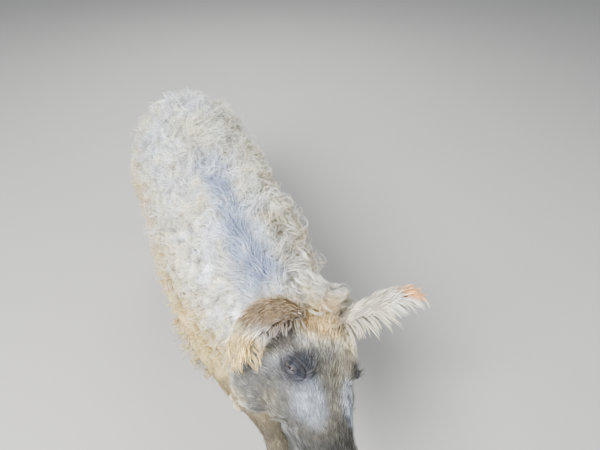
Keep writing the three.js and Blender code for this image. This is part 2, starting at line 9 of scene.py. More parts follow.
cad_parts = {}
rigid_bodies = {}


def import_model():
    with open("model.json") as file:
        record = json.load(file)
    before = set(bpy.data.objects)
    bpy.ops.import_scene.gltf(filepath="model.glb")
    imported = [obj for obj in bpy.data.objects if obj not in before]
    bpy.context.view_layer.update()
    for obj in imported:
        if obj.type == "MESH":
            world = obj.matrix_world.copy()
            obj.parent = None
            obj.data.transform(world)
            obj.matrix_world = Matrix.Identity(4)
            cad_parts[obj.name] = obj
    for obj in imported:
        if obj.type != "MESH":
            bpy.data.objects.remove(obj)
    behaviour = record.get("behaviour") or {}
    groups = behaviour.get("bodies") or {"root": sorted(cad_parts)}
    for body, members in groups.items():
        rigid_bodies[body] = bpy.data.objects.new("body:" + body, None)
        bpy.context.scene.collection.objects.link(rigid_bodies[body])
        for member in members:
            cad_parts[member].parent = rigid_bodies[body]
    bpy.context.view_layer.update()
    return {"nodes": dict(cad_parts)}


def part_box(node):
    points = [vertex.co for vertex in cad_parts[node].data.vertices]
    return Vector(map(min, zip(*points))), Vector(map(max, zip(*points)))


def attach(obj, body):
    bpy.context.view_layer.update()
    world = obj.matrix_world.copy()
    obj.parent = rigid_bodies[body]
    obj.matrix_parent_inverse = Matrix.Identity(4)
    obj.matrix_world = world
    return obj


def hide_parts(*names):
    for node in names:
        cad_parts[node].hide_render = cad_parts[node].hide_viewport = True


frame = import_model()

mm = 0.001

# sizes of the sow in millimetres, as her solids have them
sow = {
    "withersHeight": 735, "bellyHeight": 250, "trunkHalfWidth": 186, "rumpReach": 562, "napeReach": 572,
    "headLength": 386, "headPitch": 9, "headYaw": -7, "headRoll": 30, "eyeRadius": 12.5,
    "legSpread": 118, "frontKnee": 182, "backHock": 205, "stepReach": 290, "stepTuck": 130,
}
middle = (sow["withersHeight"] + sow["bellyHeight"]) / 2
rise = sow["withersHeight"] - middle
long = sow["headLength"]
back, fore = sow["rumpReach"], -sow["napeReach"]


# sums
def unit(v):
    v = np.asarray(v, float)
    return v / np.linalg.norm(v)


def smoothstep(v, low, high):
    w = np.clip((v - low) / (high - low), 0, 1)
    return w * w * (3 - 2 * w)


def circle(count):
    return np.arange(count) * 2 * np.pi / count


def spin(axis, degrees):
    return np.array(Matrix.Rotation(np.radians(degrees), 3, axis))


def curvePoint(points, t):
    points = np.asarray(points, float)
    n = len(points) - 1
    ends = np.vstack([2 * points[0] - points[1], points, 2 * points[-1] - points[-2]])
    s = np.clip(np.asarray(t, float), 0, 1) * n
    i = np.minimum(s.astype(int), n - 1)
    w = (s - i)[..., None]
    a, b, c, d = (ends[i + k] for k in range(4))
    return b + 0.5 * w * (c - a + w * (2 * a - 5 * b + 4 * c - d + w * (3 * (b - c) + d - a)))


# forms
class Tube:
    # stations are (centre, half width, radius above, radius below), or (centre, radius)
    def __init__(self, stations, blunt=1.0):
        self.centre = np.array([s[0] for s in stations], float)
        self.radii = np.array([(s[1], s[-2] if len(s) > 2 else s[1], s[-1]) for s in stations], float)
        self.blunt = blunt

    def axes(self, t):
        along = curvePoint(self.centre, t + 1e-4) - curvePoint(self.centre, t - 1e-4)
        along /= np.linalg.norm(along, axis=-1, keepdims=True)
        across = (1.0, 0, 0) - along * along[..., :1]
        across /= np.linalg.norm(across, axis=-1, keepdims=True)
        return along, across, np.cross(along, across)

    def point(self, t, angle):
        t, angle = np.broadcast_arrays(np.asarray(t, float), angle)
        t = np.clip(t, 2e-4, 1 - 2e-4)
        _, across, up = self.axes(t)
        r = curvePoint(self.radii, t)
        c, s = (np.sign(v) * np.abs(v) ** self.blunt for v in (np.cos(angle), np.sin(angle)))
        high = np.where(s > 0, r[..., 1], r[..., 2])
        return curvePoint(self.centre, t) + across * (c * r[..., 0])[..., None] + up * (s * high)[..., None]

    def rings(self, steps, sides):
        return self.point(*np.meshgrid(np.linspace(0, 1, steps + 1), circle(sides), indexing="ij"))


headTurn = spin("Z", sow["headYaw"]) @ spin("X", sow["headPitch"]) @ spin("Y", sow["headRoll"])
nape = np.array([92, fore - 14, middle + 48])


def headPlace(points):
    return np.asarray(points, float) @ headTurn.T + nape


def eyeCentre(side):
    return np.array([side * 85, -long * 0.37, 52])


# the solids stand in the middle of their box, which the left eye tells
eyeLow, eyeHigh = map(np.array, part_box("eye_left"))
shift = (eyeLow + eyeHigh) / 2 / mm - headPlace(eyeCentre(1))
shift[2] = 0
midline = float(shift[0] * mm)


def world(points):
    return (np.asarray(points, float) + shift) * mm


def inHead(points):
    return (points / mm - shift - nape) @ headTurn


# y, x, lift of the middle, half width, height above and below
trunk = Tube([((x, y, middle + lift), half * sow["trunkHalfWidth"], up * rise, down * rise)
              for y, x, lift, half, up, down in (
    (back, 0, 44, 0.2, 0.18, 0.2), (back * 0.975, 0, 42, 0.46, 0.38, 0.42),
    (back * 0.91, 0, 36, 0.7, 0.56, 0.62), (back * 0.78, 0, 26, 0.9, 0.74, 0.78),
    (back * 0.56, 0, 16, 0.98, 0.9, 0.88), (back * 0.28, 0, 8, 0.99, 0.99, 0.97),
    (0, 0, 2, 1, 1, 1), (fore * 0.28, 0, 2, 0.97, 0.98, 0.97), (fore * 0.52, 4, 10, 0.95, 0.96, 0.92),
    (fore * 0.72, 17, 16, 0.82, 0.84, 0.8), (fore * 0.88, 36, 12, 0.74, 0.7, 0.72),
    (fore * 1.04, 66, 6, 0.62, 0.5, 0.56),
)])
# share of the head's length, lift, half width, height above and below
skull = Tube([((0, -along * long, lift), half, up, down) for along, lift, half, up, down in (
    (-0.15, -16, 116, 92, 116), (0.0, -16, 132, 106, 132), (0.14, -16, 140, 106, 142),
    (0.28, -12, 128, 96, 130), (0.41, -8, 104, 80, 104), (0.56, -4, 79, 61, 80),
    (0.73, 0, 62, 49, 60), (0.87, 4, 56, 44, 54), (0.945, 6, 54, 44, 46),
)])


def foreLeg(side):
    stepping = side < 0

    def at(offset, y, z, share):
        # share is how much of the right foreleg's step this point takes up
        inward = stepping * sow["stepTuck"] * share ** 1.5
        return (side * sow["legSpread"] + side * offset + inward, y - stepping * sow["stepReach"] * share, z)

    return Tube([
        (at(0, -272, 440, 0.2), 78, 98, 92), (at(6, -280, 350, 0.42), 70, 80, 78),
        (at(4, -298, 262, 0.62), 52, 56, 54), (at(0, -314, sow["frontKnee"], 0.9), 38, 40, 38),
        (at(0, -318, 118, 0.96), 29, 30, 30),
        (at(0, -322, 76, 1), 33, 34, 36), (at(0, -342, 36, 1), 29, 31, 28),
    ])


def hindLeg(side):
    x = side * sow["legSpread"]
    return Tube([
        ((x - side * 4, 372, 480), 86, 130, 124), ((x + side * 8, 380, 385), 82, 112, 106),
        ((x + side * 6, 418, 296), 56, 68, 64), ((x, 464, sow["backHock"] + 6), 37, 42, 40),
        ((x, 468, 132), 29, 31, 32), ((x, 456, 80), 33, 35, 36), ((x, 436, 36), 29, 31, 28),
    ])


legs = [leg(side) for leg in (foreLeg, hindLeg) for side in (1, -1)]
tailY, tailZ, tailSplit = back + 2, middle + 112, middle - 36
tail = Tube([
    ((0, tailY - 50, tailZ + 6), 26), ((2, tailY + 24, tailZ - 6), 21), ((10, tailY + 66, tailZ - 60), 15),
    ((22, tailY + 66, tailSplit), 12), ((12, tailY + 58, tailSplit - 70), 11),
    ((-8, tailY + 66, tailSplit - 130), 9), ((-14, tailY + 78, tailSplit - 165), 5),
])
earThickness = {"root": 15, "tip": 9}
ears = {
    1: {"line": [(58, -16, 74), (96, -20, 124), (132, -14, 168), (172, -10, 204), (206, -14, 230)],
        "width": 52, "open": (0.45, -0.9, -0.2), "cup": 0.55},
    -1: {"line": [(-60, -20, 74), (-110, -22, 100), (-164, -34, 84), (-196, -68, 48), (-192, -118, 18)],
         "width": 54, "open": (0.5, -0.6, -0.7), "cup": 0.6},
}


def earAxes(spec, u):
    along = unit(curvePoint(spec["line"], u + 1e-3) - curvePoint(spec["line"], u - 1e-3))
    facing = unit(spec["open"] - along * (along @ np.array(spec["open"])))
    return along, facing, np.cross(facing, along)


def earRings(spec, steps=26):
    rings = []
    v = np.linspace(-1, 1, 13)
    for u in 0.002 + 0.996 * np.arange(steps + 1) / steps:
        _, facing, across = earAxes(spec, u)
        half = spec["width"] * np.sin(np.pi * min(0.97, 0.16 + u * 0.8)) ** 0.8
        thick = (earThickness["root"] + (earThickness["tip"] - earThickness["root"]) * u) / 2
        body = thick * np.sqrt(1 - 0.8 * v * v)
        sweep = spec["cup"] * half * (v * v - 0.5)
        outer, inner = (np.stack([v * half, sweep + sign * body], -1) for sign in (-1, 1))
        flat = np.vstack([outer, inner[::-1]])
        rings.append(curvePoint(spec["line"], u) + flat[:, :1] * across + flat[:, 1:] * facing)
    return headPlace(np.array(rings))


# meshes
def readAll(items, name, width=3, kind=float):
    flat = np.empty(len(items) * width, kind)
    items.foreach_get(name, flat)
    return flat.reshape(-1, width).squeeze()


def coords(mesh):
    return readAll(mesh.vertices, "co")


def normalsOf(mesh):
    return readAll(mesh.vertices, "normal")


def writeAttribute(mesh, name, values):
    if values.ndim == 2:
        mesh.attributes.new(name, "FLOAT_VECTOR", "POINT").data.foreach_set("vector", values.ravel())
    else:
        mesh.attributes.new(name, "FLOAT", "POINT").data.foreach_set("value", values.astype(float))


def triangles(mesh):
    return sum(p.loop_total - 2 for p in mesh.polygons)


def nearestOf(places, points):
    # for each place, the number of the nearest point
    tree = KDTree(len(points))
    for i, p in enumerate(points):
        tree.insert(p, i)
    tree.balance()
    return np.array([tree.find(p)[1] for p in places])


def closedFaces(steps, sides, offset):
    faces = []
    for i in range(steps):
        for j in range(sides):
            a, b = offset + i * sides + j, offset + i * sides + (j + 1) % sides
            faces.append((a, b, b + sides, a + sides))
    end = offset + steps * sides
    for j in range(sides // 2 - 1):
        a, b, c, d = j, j + 1, sides - 2 - j, sides - 1 - j
        faces.append((offset + d, offset + c, offset + b, offset + a))
        faces.append((end + a, end + b, end + c, end + d))
    return faces


def meshObject(name, points, faces):
    mesh = bpy.data.meshes.new(name)
    mesh.from_pydata([tuple(p) for p in points], [], faces)
    mesh.validate()
    mesh.shade_smooth()
    piece = bpy.data.objects.new(name, mesh)
    bpy.context.scene.collection.objects.link(piece)
    return piece


def closedObject(name, points, faces):
    # doubles merged and faces turned outwards
    piece = meshObject(name, points, faces)
    work = bmesh.new()
    work.from_mesh(piece.data)
    bmesh.ops.remove_doubles(work, verts=work.verts, dist=1e-6)
    bmesh.ops.recalc_face_normals(work, faces=work.faces)
    work.to_mesh(piece.data)
    work.free()
    return piece


def ringsObject(name, *ringSets):
    points, faces = [], []
    for rings in ringSets:
        faces += closedFaces(len(rings) - 1, rings.shape[1], len(points))
        points += list(rings.reshape(-1, 3))
    return closedObject(name, world(points), faces)


def freeze(piece):
    # the modifiers' result becomes the piece's own mesh
    graph = bpy.context.evaluated_depsgraph_get()
    mesh = bpy.data.meshes.new_from_object(piece.evaluated_get(graph), depsgraph=graph)
    piece.modifiers.clear()
    piece.data = mesh
    return piece


def finish(piece, slot, *nodes, material=None):
    if material:
        piece.data.materials.clear()
        piece.data.materials.append(material)
    if nodes:
        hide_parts(*nodes)
    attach(piece, "root")


def ball(centre, radii, steps=20, sides=28):
    lat, lon = np.meshgrid(np.linspace(0.03, np.pi - 0.03, steps + 1), circle(sides), indexing="ij")
    shell = np.stack([np.sin(lat) * np.cos(lon), np.sin(lat) * np.sin(lon), np.cos(lat)], -1)
    return np.array(centre) + shell * np.array(radii)


# skin
skinSizes = {"voxel": 0.0060, "smoothing": 5}
# centre and radii, on the left side of the head
lumps = {"jowl": ((86, -84, -84), (64, 86, 66)), "brow": ((58, -122, 60), (32, 46, 24)),
         "cheek": ((84, -long * 0.44, -20), (26, 52, 40)), "chin": ((0, -long * 0.82, -28), (38, 34, 24))}
teatRow = {"count": 6, "first": -190, "gap": 92, "aside": 62}


def headLump(name, side):
    (x, y, z), radii = lumps[name]
    return headPlace(ball((side * x, y, z), radii))


def makeSkin():
    forms = [trunk.rings(90, 72), headPlace(skull.rings(70, 60))]
    forms += [headLump(name, s) for name in ("jowl", "brow", "cheek") for s in (1, -1)]
    forms += [headLump("chin", 1)] + [leg.rings(50, 36) for leg in legs] + [tail.rings(40, 20)]
    forms += [earRings(spec) for spec in ears.values()]
    for side in (1, -1):
        for i in range(teatRow["count"]):
            x, y = side * teatRow["aside"], teatRow["first"] + i * teatRow["gap"]
            forms.append(ball((x, y, sow["bellyHeight"] + 10), (17, 18, 26), 10, 14))
            forms.append(ball((x, y, sow["bellyHeight"] - 18), (7, 7, 15), 8, 10))
    piece = ringsObject("skin", *forms)
    remesh = piece.modifiers.new("remesh", "REMESH")
    remesh.mode = "VOXEL"
    remesh.voxel_size = skinSizes["voxel"]
    remesh.use_smooth_shade = True
    smooth = piece.modifiers.new("smooth", "SMOOTH")
    smooth.factor = 0.5
    smooth.iterations = skinSizes["smoothing"]
    return freeze(piece)


skin = makeSkin()
print("skin", len(skin.data.polygons))


# node building
class Value:
    # a socket that takes part in Python sums
    def __init__(self, maker, socket):
        self.maker, self.socket = maker, socket

    def math(self, operation, *others):
        return self.maker.add("ShaderNodeMath", {"operation": operation}, dict(enumerate((self, *others))))

    def __add__(self, other):
        return self.math("ADD", other)

    def __sub__(self, other):
        return self.math("SUBTRACT", other)

    def __rsub__(self, other):
        return self.maker.add("ShaderNodeMath", {"operation": "SUBTRACT"}, {0: other, 1: self})

    def __mul__(self, other):
        return self.math("MULTIPLY", other)

    def __truediv__(self, other):
        return self.math("DIVIDE", other)

    __radd__, __rmul__ = __add__, __mul__

    def step(self, low, high):
        # 0 below low, 1 above high, smooth between
        return self.maker.add("ShaderNodeMapRange", {"interpolation_type": "SMOOTHSTEP"},
                              {"Value": self, "From Min": low, "From Max": high})


class Maker:
    def __init__(self, tree):
        self.tree = tree

    def add(self, kind, settings=None, inputs=None, out=0):
        node = self.tree.nodes.new(kind)
        for name, value in (settings or {}).items():
            setattr(node, name, value)
        for name, value in (inputs or {}).items():
            if isinstance(value, Value):
                self.tree.links.new(value.socket, node.inputs[name])
            else:
                node.inputs[name].default_value = value
        return Value(self, node.outputs[out])

    def mix(self, factor, a, b, blend="MIX"):
        a, b = (v if isinstance(v, Value) else (*v, 1.0) for v in (a, b))
        settings = {"data_type": "RGBA", "blend_type": blend}
        return self.add("ShaderNodeMix", settings, {0: factor, 6: a, 7: b}, 2)

    def tint(self, colour, factor, a, b):
        # colour times a blend of two shades
        return self.mix(1.0, colour, self.mix(factor, a, b), "MULTIPLY")

    def vector(self, operation, *values, out=0):
        return self.add("ShaderNodeVectorMath", {"operation": operation}, dict(enumerate(values)), out)

    def axis(self, place, i):
        return self.add("ShaderNodeSeparateXYZ", {}, {0: place}, i)

    def noise(self, place, scale, detail=3.0, stretch=None):
        if stretch:
            place = self.add("ShaderNodeMapping", {}, {"Vector": place, "Scale": stretch})
        sockets = {"Vector": place, "Scale": scale, "Detail": detail, "Roughness": 0.55}
        return self.add("ShaderNodeTexNoise", {}, sockets)

    def attribute(self, name):
        return self.add("ShaderNodeAttribute", {"attribute_name": name}, out=2)

    def bump(self, strength, depth, height):
        return self.add("ShaderNodeBump", {}, {"Strength": strength, "Distance": depth, "Height": height})

    def feed(self, sockets):
        for name, value in sockets.items():
            self.tree.links.new(value.socket, self.tree.nodes["Principled BSDF"].inputs[name])


def newMaterial(name, constant):
    material = bpy.data.materials.new(name)
    material.use_nodes = True
    for socket, value in constant.items():
        material.node_tree.nodes["Principled BSDF"].inputs[socket].default_value = value
    maker = Maker(material.node_tree)
    return material, maker, maker.add("ShaderNodeTexCoord", out=3)


# markings, shared by skin and coat
coatColours = {
    "white": (0.80, 0.87, 0.95), "cream": (0.86, 0.81, 0.58), "warm": (0.78, 0.69, 0.44),
    "straw": (0.80, 0.68, 0.42), "whorlShade": (0.42, 0.42, 0.41), "backBlue": (0.29, 0.38, 0.57),
    "gold": (0.70, 0.53, 0.20), "shankAndShade": (0.12, 0.105, 0.085),
    "face": (0.066, 0.065, 0.064), "muzzle": (0.034, 0.033, 0.031), "cheekSheen": (0.48, 0.55, 0.68),
    "eyePatch": (0.014, 0.016, 0.030), "poll": (0.62, 0.43, 0.18),
    "rightEar": (0.19, 0.11, 0.027), "earShade": (0.13, 0.10, 0.065), "earTip": (0.76, 0.57, 0.25),
    "leftEar": (0.60, 0.56, 0.48), "leftEarTip": (0.78, 0.36, 0.10),
}
eyePatchSize = {1: 0.040, -1: 0.060}


def headSpot(x, along, z):
    return world(headPlace((x, -along * long, z)))


def earSpots():
    # centre, radii, colour and strength
    right, left = (curvePoint(ears[s]["line"], np.array([0.4, 0.95])) for s in (-1, 1))
    return ((right[0], (0.11, 0.075, 0.07), "rightEar", 0.9),
            (right[0] + (14, -42, -34), (0.085, 0.05, 0.055), "earShade", 0.8),
            (right[1], (0.068, 0.068, 0.068), "earTip", 1.0),
            (left[0], (0.12, 0.075, 0.075), "leftEar", 0.85),
            (left[1], (0.055, 0.055, 0.055), "leftEarTip", 0.9))


def markings(maker, place):
    c = coatColours

    def near(centre, radii, inner=0.55, outer=1.15):
        # 1 inside an ellipsoid, falling to 0 outside it
        scaled = maker.vector("DIVIDE", maker.vector("SUBTRACT", place, tuple(centre)), tuple(radii))
        return 1 - maker.vector("LENGTH", scaled, out=1).step(inner, outer)

    side, length, height = (maker.axis(place, i) for i in range(3))
    patchy, clump, fine = (maker.noise(place, *k) for k in ((5.5, 2.0), (18.0,), (30.0,)))
    # the wool, whiter and creamier in turn, with painted shade between its whorls, and golden low down
    colour = maker.mix((clump + (patchy - 0.5) * 0.7).step(0.40, 0.62) * 0.8, c["white"], c["cream"])
    colour = maker.mix(fine.step(0.5, 0.75) * 0.25, colour, c["warm"])
    leftSide = side.step(midline + 0.04, midline + 0.12)
    colour = maker.mix(leftSide * 0.4, colour, c["warm"])
    # painted shade: greyer in the hollows between the whorls
    colour = maker.mix(maker.attribute("whorlShade") * (0.70 - 0.15 * leftSide), colour, c["whorlShade"])
    low = (1 - height.step(0.44, 0.68)) * (0.5 + 0.5 * patchy.step(0.3, 0.6)) * (1 - leftSide * 0.5)
    colour = maker.mix(low * length.step(-0.66, -0.44) * 0.9, colour, c["gold"])
    # the band of longer hair along the back, which follows the neck's turn and widens there
    sway = midline + 0.16 * ((0 - length) - 0.22).math("MAXIMUM", 0.0)
    wide = 0.042 + 0.18 * ((0 - length) - 0.20).math("MAXIMUM", 0.0)
    band = 1 - ((side - sway).math("ABSOLUTE") / wide + (fine - 0.5) * 1.2).step(0.35, 1.25)
    blue = band * height.step(0.60, 0.68) * (1 - length.step(-0.04, 0.24))
    blue = blue * (0.30 + 0.70 * clump.step(0.32, 0.55))
    blue = blue * (1 - near(headSpot(0, 0.0, 60), (0.16, 0.10, 0.16), 0.7, 1.2))
    colour = maker.mix(blue * 0.9, colour, c["backBlue"])
    # darker towards the bottom: partly the lower legs' own darker colour, partly painted shade under the body
    colour = maker.mix((1 - height.step(0.16, 0.44)) * 0.88, colour, c["shankAndShade"])
    # the face
    faceMask = near(headSpot(0, 0.60, -20), (0.19, 0.20, 0.19), 0.78, 1.08)
    for s in (1, -1):
        jowlMask = near(headSpot(s * 104, 0.27, -62), (0.10, 0.10, 0.10), 0.35, 1.15)
        faceMask = faceMask.math("MAXIMUM", jowlMask)
    colour = maker.mix(faceMask * 0.9, colour, c["face"])
    colour = maker.mix(faceMask * patchy.step(0.45, 0.7) * 0.2, colour, c["warm"])
    muzzle = near(headSpot(0, 0.92, -4), (0.13, 0.15, 0.13), 0.45, 1.2)
    colour = maker.mix(muzzle * 0.9, colour, c["muzzle"])
    for s in (1, -1):
        # painted highlight: a bluish sheen down each side of the face towards the snout
        sheenSpot = near(headSpot(s * 54, 0.53, 44), (0.045, 0.085, 0.045), 0.35, 1.1)
        colour = maker.mix(sheenSpot * (0.40 + 0.5 * fine), colour, c["cheekSheen"])
        patch = near(headSpot(s * 77, 0.363, 62), (eyePatchSize[s],) * 3, 0.3, 1.05)
        colour = maker.mix(patch * (0.65 + 0.55 * fine), colour, c["eyePatch"])
    colour = maker.mix(near(headSpot(6, 0.09, 96), (0.10, 0.052, 0.075)) * 0.8, colour, c["poll"])
    for centre, radii, name, strength in earSpots():
        colour = maker.mix(near(world(headPlace(centre)), radii, 0.6, 1.05) * strength, colour, c[name])
    return maker.mix(maker.attribute("golden") * (0.55 + 0.45 * fine), colour, c["rightEar"])


def skinMaterial():
    material, maker, place = newMaterial("skinShortHair", {"Roughness": 0.72, "Specular IOR Level": 0.3})
    hairs = maker.noise(place, 1.0, 2.0, (380, 110, 380))
    pores = maker.noise(place, 260.0, 2.0)
    flecks = maker.noise(place, 1.0, 3.0, (260, 70, 260))
    underHair = maker.attribute("short").step(0.2, 0.9)
    colour = maker.tint(markings(maker, place), hairs.step(0.3, 0.7), (0.66, 0.65, 0.64), (1.08, 1.08, 1.08))
    colour = maker.tint(colour, underHair, (1.0, 1.0, 1.0), (0.56, 0.55, 0.54))
    colour = maker.tint(colour, flecks.step(0.55, 0.70), (1.0, 1.0, 1.0), (1.7, 1.7, 1.7))
    # painted shade: the skin darkens in the mouth's line and in the troughs of the folds round the eyes
    colour = maker.mix(maker.attribute("crease").step(0.35, 0.9) * 0.85, colour, (0.03, 0.026, 0.026))
    maker.feed({"Base Color": colour, "Normal": maker.bump(0.6, 0.0022, hairs * 0.75 + pores * 0.25)})
    return material


def coatMaterial(name, root, dark, light, straw):
    constant = {"Roughness": 0.62, "Specular IOR Level": 0.3, "Sheen Weight": 0.12}
    material, maker, place = newMaterial(name, constant)
    tip = maker.attribute("along")
    # painted shade: the strands darken towards their roots, deep in the coat
    colour = maker.tint(markings(maker, place), tip.step(0.0, 0.5), root, (1.0, 1.0, 1.0))
    colour = maker.tint(colour, maker.attribute("tone"), dark, light)
    maker.feed({"Base Color": maker.mix(tip.step(0.55, 1.0) * straw, colour, coatColours["straw"])})
    return material


# mouth line, folds round the eyes and across the bridge
faceFolds = {"mouthDepth": 5.0, "mouthWidth": 6.0, "lip": 2.2, "eye": 1.5, "bridge": 1.1, "eyeSlant": 42}


def eyeAxes(side):
    # along the slit towards the snout, over the upper lid, and out of the head
    out = unit((side * 0.84, -0.22, 0.5))
    ahead = np.array([0, -1, -0.22])
    ahead = unit(ahead - out * (ahead @ out))
    over = -side * np.cross(out, ahead)
    slant = np.radians(faceFolds["eyeSlant"])
    return np.cos(slant) * ahead + np.sin(slant) * over, np.cos(slant) * over - np.sin(slant) * ahead, out


def lipLine(side):
    # the mouth from the front of the jaw to its corner, in the head's own axes
    return np.array([(side * x, -long * along, z) for x, along, z in (
        (30, 0.9, -22), (50, 0.83, -18), (60, 0.72, -24), (74, 0.57, -34), (90, 0.46, -28))], float)


def refineEyes(piece, reach=0.050):
    # smaller faces round the eyes, so that their folds hold
    work = bmesh.new()
    work.from_mesh(piece.data)
    centres = [Vector(world(headPlace(eyeCentre(s)))) for s in (1, -1)]
    for _ in range(2):
        close = {v for v in work.verts for centre in centres if (v.co - centre).length < reach}
        edges = [e for e in work.edges if e.verts[0] in close and e.verts[1] in close]
        bmesh.ops.subdivide_edges(work, edges=edges, cuts=1, use_grid_fill=True, smooth=0.6)
    bmesh.ops.triangulate(work, faces=[f for f in work.faces if len(f.verts) > 4])
    work.to_mesh(piece.data)
    work.free()


def faceDetails(piece):
    mesh = piece.data
    points, normals = coords(mesh), normalsOf(mesh)
    crease = np.zeros(len(points))
    lips = np.vstack([curvePoint(lipLine(s), np.linspace(0, 1, 80)) for s in (1, -1)])
    local = np.where(points[:, 1] < world(headPlace(lips))[:, 1].max() + 0.05)[0]
    head = inHead(points[local])

    def raiseSkin(amount, height):
        points[local] += normals[local] * (amount * height * mm)[:, None]

    # the mouth's line is drawn inside the muzzle, so nearness to it is measured along the head's height only
    line = lips[:80][np.argsort(-lips[:80, 1])]
    ahead = -head[:, 1]
    lift = head[:, 2] - np.interp(ahead, -line[:, 1], line[:, 2])
    inReach = (ahead > long * 0.45) & (np.abs(head[:, 0]) > 12) | (ahead > long * 0.86)
    crease[local] = np.exp(-(lift / faceFolds["mouthWidth"]) ** 2) * inReach * (ahead < long * 0.95)
    raiseSkin(crease[local], -faceFolds["mouthDepth"])
    raiseSkin(np.exp(-((np.abs(lift) - 10) / 6) ** 2) * inReach * (ahead < long * 0.92), faceFolds["lip"])
    for side in (1, -1):
        slit, over, _ = eyeAxes(side)
        offset = head - eyeCentre(side)
        away = np.hypot(offset @ slit / 1.45, offset @ over - 0.006 * (offset @ slit) ** 2)
        away = np.where(np.linalg.norm(offset, axis=1) < 60, away, 99)
        ripple = np.cos((away - 11) * 2 * np.pi / 7.5) * np.exp(-((away - 19) / 9) ** 2)
        raiseSkin(ripple, faceFolds["eye"])
        crease[local] = np.maximum(crease[local], -ripple)
    along = ahead / long
    fold = np.cos((along - 0.9) * 2 * np.pi / 0.035) * np.exp(-((along - 0.86) / 0.06) ** 2)
    raiseSkin(fold * (head[:, 2] > -5), faceFolds["bridge"])
    mesh.vertices.foreach_set("co", points.ravel())
    # the crease mask also darkens the skin's colour there as painted shade
    writeAttribute(mesh, "crease", crease)
    mesh.update()


# what the coat needs to know: where it grows, how long it is and which way it lies
coat = {
    "curlLength": 0.047, "bandLength": 0.056, "shortLength": 0.017, "patch": 0.003, "seed": 7,
    "curlTufts": 5000, "bandTufts": 1700, "shortTufts": 4000, "pieceTriangles": 180000,
}
whorls = {"leftGap": 0.070, "flankGap": 0.040, "tries": 5200, "seed": 3, "mound": 0.015}


def labelSamples():
    # points on every part with the part's name, how far along it they are, and the hair's direction
    rows = []

    def note(points, name, t, flow):
        t = np.broadcast_to(t, points.shape[:-1]).ravel()
        flow = np.broadcast_to(flow, points.shape).reshape(-1, 3)
        rows.append((points.reshape(-1, 3), [name] * len(t), t, flow))

    def noteTube(tube, name, steps, sides, sense, place=lambda p: p, turn=np.eye(3)):
        t = np.linspace(0, 1, steps + 1)
        along = tube.axes(np.clip(t, 1e-3, 1 - 1e-3))[0] @ turn.T * sense
        note(world(place(tube.rings(steps, sides))), name, t[:, None], along[:, None])

    noteTube(trunk, "trunk", 90, 60, -1)
    noteTube(skull, "head", 60, 50, -1, headPlace, headTurn)
    for leg in legs:
        noteTube(leg, "leg", 40, 24, 1)
    noteTube(tail, "tail", 40, 16, 1)
    for side in (1, -1):
        note(world(headLump("jowl", side)), "head", 0.25, headTurn @ (0, 1, 0))
        rings = world(earRings(ears[side]))
        u = np.linspace(0, 1, len(rings))
        along = np.array([earAxes(ears[side], min(max(v, 0.01), 0.99))[0] for v in u]) @ headTurn.T
        note(rings, "ear", u[:, None], along[:, None])
    return [np.concatenate(column) for column in zip(*rows)]


def blurred(mesh, values, rounds):
    a, b = readAll(mesh.edges, "vertices", 2, int).T
    count = np.bincount(a, minlength=len(values)) + np.bincount(b, minlength=len(values))
    columns = values.reshape(len(values), -1).copy()
    for _ in range(rounds):
        for k in range(columns.shape[1]):
            total = np.bincount(a, columns[b, k], len(values)) + np.bincount(b, columns[a, k], len(values))
            columns[:, k] = 0.4 * columns[:, k] + 0.6 * total / count
    return columns.reshape(values.shape)


def whorlCentres(points, woolly, reach):
    # a scatter of places for the wool to turn round, reach apart at the least
    draw = np.random.default_rng(whorls["seed"])
    kept = []
    for i in draw.permutation(np.where(woolly > 0.45)[0])[:whorls["tries"]]:
        if not kept or np.linalg.norm(points[kept] - points[i], axis=1).min() > reach[i]:
            kept.append(i)
    return np.array(kept), draw.choice([-1, 1], len(kept))


def unitRows(rows):
    return rows / np.maximum(np.linalg.norm(rows, axis=1), 1e-9)[:, None]


def onSurface(rows, normals):
    return unitRows(rows - normals * (rows * normals).sum(1)[:, None])


